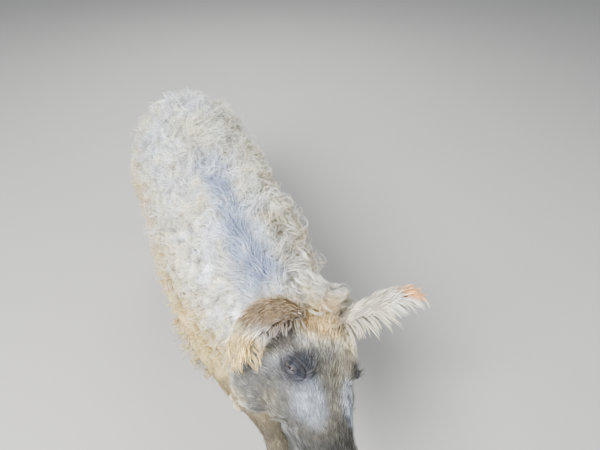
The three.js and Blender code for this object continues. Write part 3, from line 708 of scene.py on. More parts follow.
def hairGuides(piece):
    mesh = piece.data
    points, normals = coords(mesh), normalsOf(mesh)
    samples, *labels = labelSamples()
    nearest = nearestOf(points, samples)
    part, t, flow = (column[nearest] for column in labels)
    isTrunk, isHead, isLeg, isEar, isTail = (part == n for n in ("trunk", "head", "leg", "ear", "tail"))
    head = inHead(points)
    x, y, z = points.T
    middleX = midline + 0.16 * np.maximum(-y - 0.22, 0)
    # the hair's direction, first along the body, then parted by the spine
    down = np.stack([0.15 * np.sign(normals[:, 0]), 0 * x, -0.75 * np.abs(normals[:, 0])], -1)
    flow[isTrunk] += down[isTrunk]
    flow[isHead & (head[:, 1] > -long * 0.5)] += headTurn @ np.array([0, 0, -0.35])
    flow = blurred(mesh, flow, 12)
    across = (x - middleX) / 0.036
    spine = np.exp(-across ** 2) * smoothstep(normals[:, 2], 0.55, 0.9) * isTrunk
    spine = spine * smoothstep(-y, -0.10, 0.10)
    flow += (np.tanh(across * 2.5) * spine * 0.95)[:, None] * np.array([1.0, 0, 0])
    # where there is wool, it turns round whorls, which are larger on her left side
    woolly = (isTrunk | (isLeg & (t < 0.28))).astype(float)
    woolly = np.maximum(woolly, isHead * smoothstep(head[:, 1], -long * 0.18, -long * 0.04))
    woolly = blurred(mesh, woolly * (1 - 0.92 * spine), 8)
    leftSide = smoothstep(x - middleX, 0.02, 0.07) * smoothstep(-y, -0.25, 0.05) * smoothstep(z, 0.42, 0.55)
    reach = whorls["flankGap"] + (whorls["leftGap"] - whorls["flankGap"]) * leftSide
    centres, hands = whorlCentres(points, woolly, reach)
    own = nearestOf(points, points[centres])
    arm = points - points[centres][own]
    away = np.linalg.norm(arm, axis=1)
    arm = onSurface(arm, normals)
    swirl = np.cross(normals, arm) * hands[own][:, None] - 0.35 * arm
    turned = (woolly * (0.55 + 0.35 * leftSide))[:, None]
    flow = unitRows(onSurface(flow, normals) * (1 - turned) + swirl * turned)
    # the hair's length, as a share of its kind's own
    size = np.ones(len(points))
    size[isHead] = (0.95 - 0.50 * smoothstep(-head[:, 1] / long, 0.0, 0.34))[isHead]
    size[isLeg] = (0.70 - 0.34 * smoothstep(t, 0.1, 0.4))[isLeg]
    size[isEar] = 0.62
    size[isTail] = (0.45 + 0.75 * smoothstep(t, 0.55, 0.8))[isTail]
    rightSide = smoothstep(middleX - x, 0.0, 0.10) * isTrunk
    size = blurred(mesh, size * (1 - 0.24 * rightSide) * (1 + 0.06 * leftSide), 10)
    peak = np.exp(-(away / (0.55 * reach)) ** 2)
    size *= 1 + woolly * (0.10 + 0.16 * leftSide) * (peak * 1.6 - 0.7)
    # where each kind grows
    eyes = np.min([np.linalg.norm(head - eyeCentre(s), axis=1) for s in (1, -1)], axis=0)
    bare = (isHead & (-head[:, 1] > long * 0.925)) | (z < 0.042) | (eyes < 17)
    bare |= (z < 0.248) & isTrunk & (np.abs(x - middleX) < 0.09)
    curls = np.clip(woolly * 1.1, 0, 1) * ~bare + isTail * smoothstep(t, 0.4, 0.7)
    band = np.clip(spine * 1.4 + 0.12 * isTrunk * woolly * smoothstep(normals[:, 2], 0.3, 0.8), 0, 1) * ~bare
    short = np.clip(1.05 - woolly, 0, 1) * ~bare * (isHead | isLeg | isEar | isTail) * (1 + 0.5 * isHead)
    # painted shade, growing away from each whorl's centre towards the hollows between the mounds
    whorlShade = woolly * smoothstep(away / reach, 0.36, 0.72)
    for name, values in (("lie", flow), ("size", size), ("curls", curls), ("band", band), ("short", short),
                         ("hand", (hands[own] > 0).astype(float)), ("whorlShade", whorlShade)):
        writeAttribute(mesh, name, values)
    # the wool stands in soft mounds, one to a whorl
    mound = woolly * (0.3 + 0.7 * leftSide) * (peak - 0.45) * whorls["mound"]
    mesh.vertices.foreach_set("co", (points + normals * blurred(mesh, mound, 2)[:, None]).ravel())
    mesh.update()
    return {"curls": curls, "band": band, "short": short}, points[centres], hands, leftSide[centres]


def unwrapSkin(piece):
    bpy.context.view_layer.objects.active = piece
    piece.select_set(True)
    bpy.ops.object.mode_set(mode="EDIT")
    bpy.ops.mesh.select_all(action="SELECT")
    bpy.ops.uv.smart_project(angle_limit=1.15, island_margin=0.001)
    bpy.ops.object.mode_set(mode="OBJECT")
    piece.data.uv_layers[0].name = "unwrap"


refineEyes(skin)
faceDetails(skin)
unwrapSkin(skin)
hairWeights, whorlPlaces, whorlHands, whorlLeft = hairGuides(skin)
fleshNodes = [n for n in frame["nodes"] if not n.startswith(("eye_", "snout")) and "claw" not in n]
finish(skin, "curly_coat", *fleshNodes, material=skinMaterial())
print("skin", len(skin.data.polygons), "faces")


# strands and tufts
def sweepPath(hand, turn, height, reach, steps, tighten=1.0, heading=0.0, droop=0.25):
    # a strand that rises from its root and then winds round to one hand, in units of its tuft's length
    s = np.linspace(0, 1, steps)
    way = heading + hand * turn * (s ** tighten - 0.35)
    speed = (0.25 + 0.75 * smoothstep(s, 0, 0.35)) * reach / (steps - 1)
    x, y = (np.concatenate([[0], np.cumsum((f(way) * speed)[1:])]) for f in (np.cos, np.sin))
    late = (np.maximum(s - 0.5, 0) * 2) ** 2
    z = height * (1 - (1 - np.minimum(s / 0.5, 1)) ** 2) - droop * height * late - 0.06 * (1 - s)
    return np.stack([x, y, z], -1)


def strandMesh(path, wide, thick):
    # a thin closed strand of three sides along path, tapered to its tip: points, faces and shares along it
    along = np.gradient(path, axis=0)
    along /= np.maximum(np.linalg.norm(along, axis=1), 1e-12)[:, None]
    across = np.cross(along, (0, 0, 1.0)) + np.array([1e-4, 1e-4, 0])
    across /= np.linalg.norm(across, axis=1)[:, None]
    up = np.cross(along, across)
    rings = len(path) - 1
    s = np.arange(rings) / rings
    taper = np.sqrt(np.maximum(1 - s ** 2, 0.03)) * (0.7 + 0.3 * np.minimum(s * 4, 1))
    a = 2 * np.pi * np.arange(3) / 3
    body = path[:-1, None] + across[:-1, None] * (np.cos(a) * wide)[:, None] * taper[:, None, None]
    body = body + up[:-1, None] * (np.sin(a) * thick)[:, None] * taper[:, None, None]
    faces = [(2, 1, 0)]
    for p in range(0, rings * 3 - 3, 3):
        faces += [(p + j, p + (j + 1) % 3, p + (j + 1) % 3 + 3, p + j + 3) for j in range(3)]
    last, tip = rings * 3 - 3, rings * 3
    faces += [(last + j, last + (j + 1) % 3, tip) for j in range(3)]
    return np.vstack([body.reshape(-1, 3), path[-1:]]), faces, np.append(np.repeat(s, 3), 1.0)


def strandsObject(name, strands):
    # strands are (path, half width, half thickness, number of the lock they belong to)
    points, faces, share, patch, lock, offset = [], [], [], [], [], 0
    for k, (path, wide, thick, owner) in enumerate(strands):
        p, f, s = strandMesh(path, wide, thick)
        faces += [tuple(i + offset for i in face) for face in f]
        points.append(p)
        share.append(s)
        patch.append(np.stack([s, (k % 8 + (np.arange(len(s)) % 3) / 3) / 8, 0 * s], -1))
        lock += [owner] * len(p)
        offset += len(p)
    piece = meshObject(name, np.vstack(points), faces)
    writeAttribute(piece.data, "along", np.concatenate(share))
    writeAttribute(piece.data, "patch", np.vstack(patch))
    return piece, np.array(lock)


# paired strands lie two and two, and vary in droop and width
tuftShape = {
    "variants": 8, "flat": 0.55,
    "curls": {"strands": 3, "points": 6, "turn": (2.6, 5.0), "height": (0.35, 0.98), "reach": (1.0, 1.5),
              "heading": 0.9, "droop": (0.1, 0.4), "scatter": 0.24, "wide": 0.0145, "paired": True},
    "band": {"strands": 5, "points": 5, "turn": (0.1, 0.8), "height": (0.14, 0.42), "reach": (0.9, 1.35),
             "heading": 0.3, "droop": 0.5, "scatter": 0.2, "wide": 0.0105, "paired": False},
    "short": {"strands": 7, "points": 3, "turn": (0.0, 0.5), "height": (0.12, 0.34), "reach": (0.9, 1.4),
              "heading": 0.35, "droop": 0.3, "scatter": 0.45, "wide": 0.023, "paired": False},
}


def tuftStrands(draw, hand, shape):
    rows = []
    paired, wide = shape["paired"], shape["wide"]
    for _ in range(shape["strands"]):
        turn, height, reach = (draw.uniform(*shape[k]) for k in ("turn", "height", "reach"))
        heading = draw.uniform(-shape["heading"], shape["heading"])
        droop = draw.uniform(*shape["droop"]) if paired else shape["droop"]
        path = sweepPath(hand, turn, height, reach, shape["points"], heading=heading, droop=droop)
        path[:, :2] += draw.uniform(-shape["scatter"], shape["scatter"], 2)
        rows.append(path)
        if paired:
            s = np.linspace(0, 1, shape["points"])
            beside = np.stack([-0.03 * hand + 0 * s, (0.02 + 0.07 * s) * draw.choice([-1, 1]), 0.06 * s], -1)
            rows.append(path * (0.95, 0.95, 0.92) + beside)
    thick = wide * tuftShape["flat"]
    return [(path, wide * (draw.uniform(0.8, 1.2) if paired else 1), thick, 0) for path in rows]


def tuftCollection(kind):
    # the first half of the variants wind to the right and the rest to the left
    home = bpy.data.collections.new(kind + "Tufts")
    for i in range(tuftShape["variants"]):
        hand = 1 if i >= tuftShape["variants"] // 2 else -1
        draw = np.random.default_rng(100 + i)
        tuft, _ = strandsObject(f"{kind}Tuft{i}", tuftStrands(draw, hand, tuftShape[kind]))
        bpy.context.scene.collection.objects.unlink(tuft)
        home.objects.link(tuft)
    return home


# coat by Geometry Nodes
def coatTree():
    tree = bpy.data.node_groups.new("growCoat", "GeometryNodeTree")
    kinds = {"Geometry": "Geometry", "Where": "String", "Per Area": "Float", "Length": "Float", "Seed": "Int",
             "From": "Float", "To": "Float", "Tufts": "Collection", "Material": "Material"}
    for name, kind in kinds.items():
        tree.interface.new_socket(name, in_out="INPUT", socket_type="NodeSocket" + kind)
    tree.interface.new_socket("Geometry", in_out="OUTPUT", socket_type="NodeSocketGeometry")
    maker = Maker(tree)
    given = {s.name: Value(maker, s) for s in tree.nodes.new("NodeGroupInput").outputs if s.name}

    def named(name, kind="FLOAT"):
        return maker.add("GeometryNodeInputNamedAttribute", {"data_type": kind}, {"Name": name})

    def namedVector(name):
        return named(name, "FLOAT_VECTOR")

    def store(geometry, name, value, kind, domain):
        return maker.add("GeometryNodeStoreNamedAttribute", {"data_type": kind, "domain": domain},
                         {"Geometry": geometry, "Name": name, "Value": value})

    def randomNumber(low, high, seed):
        sockets = {2: low, 3: high, "Seed": seed}
        return maker.add("FunctionNodeRandomValue", {"data_type": "FLOAT"}, sockets, 1)

    def compare(operation, a, b):
        return maker.add("FunctionNodeCompare", {"data_type": "FLOAT", "operation": operation}, {0: a, 1: b})

    # roots, kept between two borders along the body
    density = named(given["Where"]) * given["Per Area"]
    roots = maker.add("GeometryNodeDistributePointsOnFaces", {"distribute_method": "RANDOM"},
                      {"Mesh": given["Geometry"], "Density": density, "Seed": given["Seed"]})
    normal = Value(maker, roots.socket.node.outputs["Normal"])
    stand = maker.add("FunctionNodeAlignRotationToVector", {"axis": "Z"}, {"Vector": normal})
    turn = maker.add("FunctionNodeAlignRotationToVector", {"axis": "X", "pivot_axis": "Z"},
                     {"Rotation": stand, "Vector": namedVector("lie")})
    y = maker.axis(maker.add("GeometryNodeInputPosition"), 1)
    outside = maker.add("FunctionNodeBooleanMath", {"operation": "OR"}, {
        0: compare("LESS_THAN", y, given["From"]), 1: compare("GREATER_EQUAL", y, given["To"])})
    kept = maker.add("GeometryNodeDeleteGeometry", {"domain": "POINT"}, {
        "Geometry": store(roots, "rotation", turn, "QUATERNION", "POINT"), "Selection": outside})
    # tufts, each with its whorl's hand
    half = tuftShape["variants"] // 2
    choice = maker.add("FunctionNodeRandomValue", {"data_type": "INT"}, {4: 0, 5: half - 1, "Seed": 5}, 2)
    models = maker.add("GeometryNodeCollectionInfo", {"transform_space": "ORIGINAL"},
                       {"Collection": given["Tufts"], "Separate Children": True, "Reset Children": True})
    grown = maker.add("GeometryNodeInstanceOnPoints", {}, {
        "Points": kept, "Instance": models, "Pick Instance": True,
        "Instance Index": choice + named("hand").math("GREATER_THAN", 0.5) * half,
        "Rotation": named("rotation", "QUATERNION"),
        "Scale": named("size") * given["Length"] * randomNumber(0.75, 1.22, 3)})
    grown = store(grown, "tone", randomNumber(0.0, 1.0, 9), "FLOAT", "INSTANCE")
    solid = maker.add("GeometryNodeRealizeInstances", {}, {"Geometry": grown})
    # a small patch of the map at the root's place on the skin's unwrap
    patch = maker.add("ShaderNodeVectorMath", {"operation": "SCALE"},
                      {0: namedVector("patch"), "Scale": coat["patch"]})
    spot = maker.vector("ADD", namedVector("unwrap"), patch)
    solid = store(solid, "OFBake", spot, "FLOAT2", "CORNER")
    for name in ("lie", "size", "curls", "band", "short", "hand", "crease", "unwrap", "patch", "rotation"):
        solid = maker.add("GeometryNodeRemoveAttribute", {}, {"Geometry": solid, "Name": name})
    solid = maker.add("GeometryNodeSetMaterial", {}, {"Geometry": solid, "Material": given["Material"]})
    tree.links.new(solid.socket, tree.nodes.new("NodeGroupOutput").inputs[0])
    return tree


growCoat = coatTree()
# the first tint of each is painted shade at the strands' roots
woolMaterial = coatMaterial("curlyWool", (0.74, 0.73, 0.71), (0.80, 0.79, 0.76), (1.12, 1.12, 1.12), 0.14)
hairMaterial = coatMaterial("shortHair", (0.62, 0.61, 0.60), (0.48, 0.48, 0.48), (2.5, 2.5, 2.4), 0.08)
backMaterial = coatMaterial("backHair", (0.45, 0.46, 0.50), (0.52, 0.54, 0.60), (1.80, 1.72, 1.62), 0.03)


def growPiece(name, values):
    piece = bpy.data.objects.new(name, skin.data.copy())
    bpy.context.scene.collection.objects.link(piece)
    grow = piece.modifiers.new("grow", "NODES")
    grow.node_group = growCoat
    sockets = {s.name: s.identifier for s in growCoat.interface.items_tree if s.in_out == "INPUT"}
    for label, value in values.items():
        grow[sockets[label]] = value
    freeze(piece)
    piece.data.name = name
    return piece


def slices(load):
    # borders along the body that share the triangles out, so that each piece stays light
    count = int(np.ceil(load.sum() / coat["pieceTriangles"]))
    places = coords(skin.data)[:, 1]
    order = np.argsort(places)
    total, places = np.cumsum(load[order]), places[order]
    borders = [float(places[np.searchsorted(total, total[-1] * k / count)]) for k in range(1, count)]
    return list(zip([-9.0] + borders, borders + [9.0]))


def vertexAreas(mesh):
    corner = readAll(mesh.loops, "vertex_index", 1, int)
    starts = readAll(mesh.polygons, "loop_start", 1, int)
    return np.bincount(corner[starts], readAll(mesh.polygons, "area", 1), len(mesh.vertices))


def growCoatOver(label, where, tuftCount, length, material):
    models = tuftCollection(where)
    each = np.mean([triangles(o.data) for o in models.objects])
    share = vertexAreas(skin.data) * np.maximum(hairWeights[where], 0)
    for i, (low, high) in enumerate(slices(share / share.sum() * tuftCount * each)):
        piece = growPiece(f"{label}{i + 1}", {
            "Where": where, "Per Area": float(tuftCount / share.sum()), "Length": length,
            "Seed": coat["seed"], "From": low, "To": high, "Tufts": models, "Material": material})
        finish(piece, "curly_coat")
        print(piece.name, triangles(piece.data))


growCoatOver("woolCoat", "curls", coat["curlTufts"], coat["curlLength"], woolMaterial)
growCoatOver("backCoat", "band", coat["bandTufts"], coat["bandLength"], backMaterial)
growCoatOver("shortCoat", "short", coat["shortTufts"], coat["shortLength"] / 0.45, hairMaterial)

# standing curls, ringlets, the fringes of the ears and the tail's tuft, each lock placed one by one
locks = {"strands": 11, "wide": 0.0006, "curlSize": 0.047, "pollSize": 0.052, "pollCount": 56,
         "jawShare": 0.45, "jawCount": 3, "fringeSize": 0.074, "fringeWide": 0.0010,
         "tailSize": 0.085, "tailWide": 0.0013, "tailCount": 26}
# side of the head, where along the ear the fringe starts and ends, its locks, and how many fall on one edge
fringes = ((1, 0.12, 0.98, 110, 4), (-1, 0.20, 0.99, 86, 3))


def skinAt(places):
    # the skin's nearest points, normals and places on the unwrap
    mesh = skin.data
    points = coords(mesh)
    spot = np.zeros((len(points), 2))
    spot[readAll(mesh.loops, "vertex_index", 1, int)] = readAll(mesh.uv_layers["unwrap"].data, "uv", 2)
    found = nearestOf(places, points)
    return points[found], normalsOf(mesh)[found], spot[found]


def lockStrands(draw, root, normal, lie, size, count, wide, owner, steps=10, **sweep):
    # one lock: strands that share a sweep, spread a little across it
    lie = unit(lie - normal * (lie @ normal))
    turn = np.array([lie, np.cross(normal, lie), normal])
    path = sweepPath(steps=steps, **sweep)
    s = np.linspace(0, 1, steps)[:, None]
    rows = []
    for _ in range(count):
        spread = draw.uniform(-0.11, 0.11, 3) * (0.35 + s) + draw.uniform(-0.04, 0.04, 3)
        own = path * draw.uniform(0.86, 1.1) + spread * (1, 1, 0.6)
        own[:, 2] = np.maximum(own[:, 2], -0.08)
        rows.append((root + (own * size) @ turn, wide, wide * 0.6, owner))
    return rows


def lockPiece(name, rows, spots, tones, golden=None):
    piece, owner = strandsObject(name, rows)
    mesh = piece.data
    spot = spots[owner] + readAll(mesh.attributes["patch"].data, "vector")[:, :2] * coat["patch"]
    corner = readAll(mesh.loops, "vertex_index", 1, int)
    mesh.uv_layers.new(name="OFBake").data.foreach_set("uv", spot[corner].ravel())
    writeAttribute(mesh, "tone", tones[owner])
    if golden is not None:
        writeAttribute(mesh, "golden", golden[owner])
    mesh.attributes.remove(mesh.attributes["patch"])
    finish(piece, "curly_coat", material=woolMaterial)
    print(name, triangles(mesh))


def makeStandingCurls():
    draw = np.random.default_rng(21)
    chosen = np.where((whorlLeft > 0.3) | (draw.random(len(whorlLeft)) < 0.35))[0]
    roots, normals, spots = skinAt(whorlPlaces[chosen])
    rows = []
    for i, k in enumerate(chosen):
        rows += lockStrands(
            draw, roots[i], normals[i], np.array([draw.normal(), draw.normal(), -0.4]),
            locks["curlSize"] * (0.55 + 0.45 * whorlLeft[k]), locks["strands"], locks["wide"], i,
            hand=int(whorlHands[k]), turn=draw.uniform(6.0, 9.0), height=draw.uniform(0.7, 0.95),
            reach=draw.uniform(2.0, 2.8), tighten=1.3, droop=draw.uniform(0.1, 0.4))
    lockPiece("standingCurls", rows, spots, draw.random(len(chosen)))


def makePollCurls():
    draw = np.random.default_rng(22)
    onPoll = locks["pollCount"]
    places = [(draw.uniform(-56, 84), -long * draw.uniform(-0.26, 0.05), 110) for _ in range(onPoll)]
    places += [(-104, -100 - 14 * i, -128) for i in range(locks["jawCount"])]
    roots, normals, spots = skinAt(world(headPlace(places)))
    rows = []
    for i in range(len(roots)):
        size = locks["pollSize"] * (1 if i < onPoll else locks["jawShare"])  # the last are the jaw's
        rows += lockStrands(
            draw, roots[i], normals[i], headTurn @ np.array([draw.normal() * 0.6, -1, 0]), size,
            locks["strands"], locks["wide"], i, hand=int(draw.choice([-1, 1])), turn=draw.uniform(6.0, 8.5),
            height=draw.uniform(0.65, 0.95), reach=draw.uniform(2.0, 2.7), tighten=1.3, droop=0.35)
    lockPiece("pollCurls", rows, spots, draw.random(len(roots)))


def makeFringes():
    draw = np.random.default_rng(23)
    rows, places, golden = [], [], []
    for side, low, high, count, every in fringes:
        rings = earRings(ears[side], 60)
        left = side > 0
        for i in range(count):
            u = low + (high - low) * (i + draw.random()) / count
            ring = rings[int(u * 60)]
            lower, upper = (12, 0) if ring[12][2] < ring[0][2] else (0, 12)
            edge = ring[lower if i % every else upper]
            along = headTurn @ earAxes(ears[side], min(u, 0.98))[0]
            out = unit(edge - ring[6]) * 0.8 + along * (0.25 + 0.7 * u) + np.array([0, 0, -0.65])
            share = (1.0 - 0.62 * u) * draw.uniform(0.75, 1.15) if left else 0.30 + 0.26 * u
            places.append(world(edge))
            golden.append(0 if left else np.clip(2.6 - 3.2 * u, 0, 0.85))
            normal = unit(np.cross(unit(out), np.cross(headTurn @ np.array([0, 0, 1.0]), unit(out))))
            rows += lockStrands(
                draw, places[-1], normal, unit(out), locks["fringeSize"] * share, 5, locks["fringeWide"],
                len(places) - 1, steps=8, hand=int(draw.choice([-1, 1])),
                turn=draw.uniform(0.2, 1.1) * (1 if left else 2.4), height=0.10,
                reach=draw.uniform(0.9, 1.35), droop=1.0)
    lockPiece("earFringes", rows, skinAt(places)[2], draw.random(len(places)), np.array(golden, float))


def makeTailTuft():
    draw = np.random.default_rng(24)
    rows, places = [], []
    for i in range(locks["tailCount"]):
        t, angle = draw.uniform(0.72, 0.97), draw.uniform(0, 2 * np.pi)
        root = tail.point(t, angle)
        out = unit(root - curvePoint(tail.centre, t))
        places.append(world(root))
        rows += lockStrands(
            draw, places[-1], out, np.array([0, 0, -1.0]) + 0.2 * out,
            locks["tailSize"] * draw.uniform(0.6, 1.0), 5, locks["tailWide"], i, steps=9,
            hand=int(draw.choice([-1, 1])), turn=draw.uniform(0.6, 2.4), height=0.16,
            reach=draw.uniform(0.8, 1.2), droop=0.4)
    lockPiece("tailTuft", rows, skinAt(places)[2], draw.random(len(places)))


makeStandingCurls()
makePollCurls()
makeFringes()
makeTailTuft()

# snout
snoutShape = {"start": 0.935, "half": 57, "rise": 47,
              "nostril": (21, 9), "nostrilHalf": 9.5, "nostrilRise": 13, "nostrilDepth": 20}


def makeSnout():
    # rows of depth and share of the disc's width, over its edge and then across its face
    profile = [(-14, 0.84), (-6, 0.90), (0, 0.93), (5, 0.985), (10, 1.01), (16, 1.01), (20, 0.99), (23, 0.95)]
    profile += [(24.6, 0.89)]
    profile += [(24.4 - 1.2 * np.sin(np.pi * (0.86 - s) / 0.86), s) for s in np.linspace(0.84, 0.02, 26)]
    c, s = np.cos(circle(80)), np.sin(circle(80))
    nostrilX, nostrilZ = snoutShape["nostril"]
    rings = []
    for depth, share in profile:
        x = c * snoutShape["half"] * share
        z = s * snoutShape["rise"] * share * np.where(s < 0, 0.96, 1.0)
        y = np.full(len(c), -(long * snoutShape["start"] + depth))
        if depth > 20:
            for side in (1, -1):
                away = np.hypot((x - side * nostrilX) / snoutShape["nostrilHalf"],
                                (z - nostrilZ) / snoutShape["nostrilRise"])
                rim = 1.8 * np.exp(-((away - 1.35) / 0.28) ** 2)
                y += snoutShape["nostrilDepth"] * np.exp(-away ** 4 * 1.6) - rim
            y += 1.6 * np.exp(-(x / 4) ** 2) * (z < 2)
        rings.append(np.stack([x, y, z + 6], -1))
    return ringsObject("snoutDisc", headPlace(np.array(rings)))


def plainMaterial(name, dark, light, scale, roughness, depth, constant=None):
    material, maker, place = newMaterial(name, {"Roughness": roughness, **(constant or {})})
    cloud = maker.noise(place, scale, 5.0)
    grain = maker.noise(place, scale * 7)
    maker.feed({"Base Color": maker.mix(cloud.step(0.3, 0.7), dark, light),
                "Roughness": roughness + (grain - 0.5) * 0.25,
                "Normal": maker.bump(0.6, depth, grain * 0.6 + cloud * 0.4)})
    return material


snoutLeather = plainMaterial("snoutLeather", (0.085, 0.070, 0.068), (0.19, 0.155, 0.145), 60, 0.42, 0.0016,
                             {"Coat Weight": 0.12})
finish(makeSnout(), "snout_skin", "snout", material=snoutLeather)

# eyes, lids and lashes
eyeShape = {"cornea": 0.9, "pupil": 0.0030, "iris": 0.0072}
lidShape = {"long": 1.0, "upper": 0.17, "lower": 0.12, "margin": 2.6, "fold": 1.2}
lashShape = {"count": 24, "upper": 17, "upperLength": 22, "lowerLength": 12, "wide": 0.00042}


def sideWord(side):
    return "Left" if side > 0 else "Right"


def eyePoint(side, right, up, radius):
    # a point at two angles, in radians, from the eye's own axis
    across, over, out = eyeAxes(side)
    away = np.hypot(right, up)
    flat = np.where(away > 1e-9, np.sin(away) / np.maximum(away, 1e-9), 1.0)
    return eyeCentre(side) + radius[..., None] * (
        (right * flat)[..., None] * across + (up * flat)[..., None] * over + np.cos(away)[..., None] * out)


def makeEye(side):
    a, b = np.meshgrid(np.linspace(0.03, np.pi - 0.03, 28), circle(40), indexing="ij")
    radius = sow["eyeRadius"] + eyeShape["cornea"] * np.exp(-(a / 0.45) ** 2)
    rings = eyePoint(side, a * np.cos(b), a * np.sin(b), radius)
    return ringsObject("eyeBall" + sideWord(side), headPlace(rings))


def eyeMaterial(side):
    material, maker, place = newMaterial("eye" + sideWord(side), {
        "Roughness": 0.18, "Specular IOR Level": 0.25, "Coat Weight": 0.35, "Coat Roughness": 0.05})
    pole = world(headPlace(eyeCentre(side) + eyeAxes(side)[2] * (sow["eyeRadius"] + eyeShape["cornea"])))
    away = maker.vector("LENGTH", maker.vector("SUBTRACT", place, tuple(pole)), out=1)
    iris = maker.mix(maker.noise(place, 900.0), (0.018, 0.011, 0.008), (0.05, 0.03, 0.018))
    colour = maker.mix(away.step(eyeShape["pupil"], eyeShape["pupil"] + 0.0006), (0.004, 0.004, 0.006), iris)
    colour = maker.mix(away.step(eyeShape["iris"], eyeShape["iris"] + 0.0010), colour, (0.035, 0.027, 0.024))
    maker.feed({"Base Color": colour})
    return material


def lidEdge(angle, high, wide):
    c = np.cos(angle)
    return np.stack([c * lidShape["long"] * wide, np.sin(angle) * high * (1 - 0.45 * np.abs(c) ** 3)], -1)


def makeLids(side):
    angle = circle(56)
    s = np.sin(angle)
    edge = lidEdge(angle, np.where(s > 0, lidShape["upper"], lidShape["lower"]), 0.78)
    r = sow["eyeRadius"]
    # share of the slit's edge, radius and lift of the fold, from the rim over the lid and back inside
    loop = [(0.97, r + 0.15, 0), (1.0, r + 1.4, 0), (1.08, r + lidShape["margin"], 0.3), (1.35, r + 3.0, 0.6),
            (1.6, r + 2.4, -0.9), (1.85, r + 2.6, 0.5), (2.3, r + 0.4, 0), (2.8, r - 4.0, 0),
            (2.4, r - 4.5, 0), (1.6, r - 1.2, 0), (1.1, r - 0.6, 0)]
    rings = [eyePoint(side, edge[:, 0] * k, edge[:, 1] * min(k, 1) + s * max(k - 1, 0) * 0.62,
                      radius + lidShape["fold"] * lift * np.clip(s, 0, 1)) for k, radius, lift in loop]
    n, m = len(loop), len(angle)
    faces = [(i * m + j, i * m + (j + 1) % m, (i + 1) % n * m + (j + 1) % m, (i + 1) % n * m + j)
             for i in range(n) for j in range(m)]
    return closedObject("lids" + sideWord(side), world(headPlace(np.array(rings))).reshape(-1, 3), faces)


def makeLashes(side):
    draw = np.random.default_rng(40 + side)
    across, over, out = eyeAxes(side)
    s = np.linspace(0, 1, 7)[:, None]
    upper = lashShape["upper"]
    points, faces = [], []
    for i in range(lashShape["count"]):
        top = i < upper
        a = np.pi * ((i + 0.5) / upper if top else 1 + (i - upper + 0.5) / (lashShape["count"] - upper))
        edge = lidEdge(a, lidShape["upper" if top else "lower"], 0.8) * (1, 1.04)
        root = eyePoint(side, edge[:1], edge[1:], np.array([sow["eyeRadius"] + 1.6]))[0]
        length = lashShape["upperLength" if top else "lowerLength"] * draw.uniform(0.8, 1.15)
        lean = over * (0.55 if top else -0.7) + across * (edge[0] * 0.5 + draw.uniform(-0.15, 0.15))
        path = root + out * length * (s - 0.35 * s * s) + lean * length * (0.25 * s + 0.55 * s * s)
        path = path - over * length * 0.12 * (s * s if top else 0)
        p, f, _ = strandMesh(world(headPlace(path)), lashShape["wide"], lashShape["wide"])
        faces += [tuple(k + len(points) for k in face) for face in f]
        points += list(p)
    return closedObject("lashes" + sideWord(side), points, faces)


lidMaterial = plainMaterial("lidSkin", (0.030, 0.030, 0.040), (0.07, 0.068, 0.08), 90, 0.5, 0.0009)
lashMaterial = plainMaterial("lashHair", (0.05, 0.048, 0.046), (0.14, 0.125, 0.10), 300, 0.5, 0.0001)
for side in (1, -1):
    finish(makeEye(side), "eye", "eye_" + sideWord(side).lower(), material=eyeMaterial(side))
    finish(makeLids(side), "snout_skin", material=lidMaterial)
    finish(makeLashes(side), "face_hair", material=lashMaterial)
print("head pieces")

# hooves
hoofShape = {"spread": 18.5, "sides": 28, "ridges": 0.5, "foreY": -352, "hindY": 424}


def clawRings(x, y):
    toe = Tube([((x, y + 6, 52), 13, 15, 15), ((x, y - 2, 36), 15.5, 20, 19),
                ((x, y - 8, 14), 17, 27, 22), ((x, y - 10, -12), 17.5, 31, 23)], blunt=0.85)
    rings = toe.rings(36, hoofShape["sides"])
    level = np.linspace(0, 1, 37)[:, None]
    axis = rings.mean(axis=1, keepdims=True)
    swell = 1 + (hoofShape["ridges"] / 17) * np.sin(level * 60) * (level > 0.15)
    rings = axis + (rings - axis) * swell[..., None]
    rings = rings[rings[..., 2].mean(1) > 1.0]  # the toe is cut flat just over the floor
    sole = rings[-1] * (1, 1, 0)
    inward = sole.mean(axis=0)
    edges = [sole + (0, 0, 0.8), inward + (sole - inward) * 0.97, inward + (sole - inward) * 0.5]
    return np.concatenate([rings[:-1], edges])


def dewRings(x, y):
    return Tube([((x, y + 22, 80), 9), ((x, y + 34, 64), 10, 10, 9), ((x, y + 42, 44), 8.5, 8, 7),
                 ((x, y + 43, 34), 4, 4, 3)]).rings(20, 20)


def hoofMaterial():
    material, maker, place = newMaterial("hoofHorn", {"Roughness": 0.5})
    cloud = maker.noise(place, 45.0, 4.0)
    grain = maker.noise(place, 1.0, 2.0, (500, 500, 60))
    colour = maker.mix(cloud.step(0.3, 0.7), (0.055, 0.045, 0.038), (0.16, 0.13, 0.10))
    colour = maker.mix((1 - maker.axis(place, 2).step(0.0, 0.02)) * 0.5, colour, (0.24, 0.20, 0.15))
    maker.feed({"Base Color": colour, "Roughness": 0.45 + grain * 0.25,
                "Normal": maker.bump(0.5, 0.0008, grain)})
    return material


horn = hoofMaterial()
for word in ("fore", "hind"):
    for side in (1, -1):
        stepping = word == "fore" and side < 0
        x = side * sow["legSpread"] + stepping * sow["stepTuck"]
        y = hoofShape[word + "Y"] - stepping * sow["stepReach"]
        for sense, which in ((-1, "inner"), (1, "outer")):
            toeX = x + side * sense * hoofShape["spread"]
            name = f"{word}_leg_{sideWord(side).lower()}_{which}"
            finish(ringsObject(f"{name}_hoof", clawRings(toeX, y)), "horn", f"{name}_claw", material=horn)
            finish(ringsObject(f"{name}_nail", dewRings(toeX, y)), "horn", f"{name}_dewclaw", material=horn)
print("hooves")

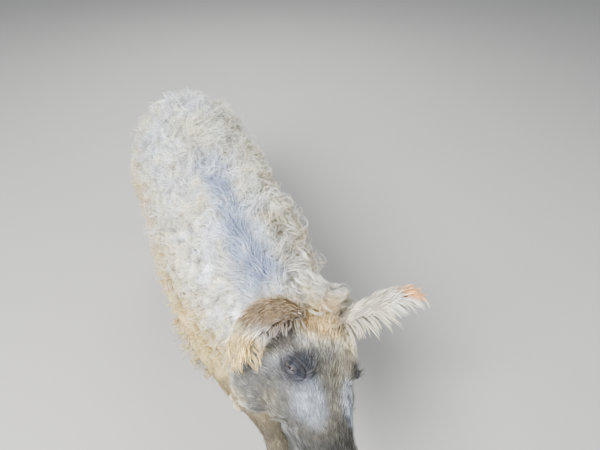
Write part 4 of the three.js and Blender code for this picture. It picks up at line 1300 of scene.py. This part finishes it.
# floor, light and camera
studio = {"floor": (0.40, 0.395, 0.385), "key": 440, "fill": 34, "rim": 90, "sky": 0.46}
view = {"place": (-190, -1370, 1570), "turn": 20, "down": 39.7, "focal": 522 / 600 * 36}


def makeFloor():
    floor = meshObject("floor", [(-9, -9, 0), (9, -9, 0), (9, 9, 0), (-9, 9, 0)], [(0, 1, 2, 3)])
    material, maker, place = newMaterial("studioFloor", {"Roughness": 0.85})
    shade = tuple(v * 0.94 for v in studio["floor"])
    maker.feed({"Base Color": maker.mix(maker.noise(place, 1.5), studio["floor"], shade)})
    floor.data.materials.append(material)


def addAimed(name, data, place, direction):
    thing = bpy.data.objects.new(name, data)
    thing.location = place
    thing.rotation_euler = Vector(direction).to_track_quat("-Z", "Y").to_euler()
    bpy.context.scene.collection.objects.link(thing)
    return thing


def areaLight(name, place, aim, size, power, colour):
    light = bpy.data.lights.new(name, "AREA")
    light.shape, light.size, light.energy, light.color = "DISK", size, power, colour
    addAimed(name, light, place, Vector(aim) - Vector(place))


def makeCamera():
    camera = bpy.data.cameras.new("photoView")
    camera.lens = view["focal"]
    camera.sensor_width = 36
    turn, down = np.radians(view["turn"]), np.radians(view["down"])
    look = (np.sin(turn) * np.cos(down), np.cos(turn) * np.cos(down), -np.sin(down))
    bpy.context.scene.camera = addAimed("photoView", camera, world(view["place"]), look)


makeFloor()
areaLight("keyLight", (-1.9, -1.6, 3.0), (0, -0.2, 0.4), 1.8, studio["key"], (1.0, 1.0, 0.99))
areaLight("fillLight", (2.4, -1.4, 2.2), (0, 0, 0.4), 2.2, studio["fill"], (0.95, 0.97, 1.0))
areaLight("rimLight", (0.6, 2.6, 2.6), (0, 0.2, 0.5), 1.8, studio["rim"], (1.0, 1.0, 1.0))
sky = bpy.data.worlds.new("studioSky")
sky.use_nodes = True
sky.node_tree.nodes["Background"].inputs["Color"].default_value = (0.92, 0.95, 1.0, 1)
sky.node_tree.nodes["Background"].inputs["Strength"].default_value = studio["sky"]
bpy.context.scene.world = sky
makeCamera()

print("finished")
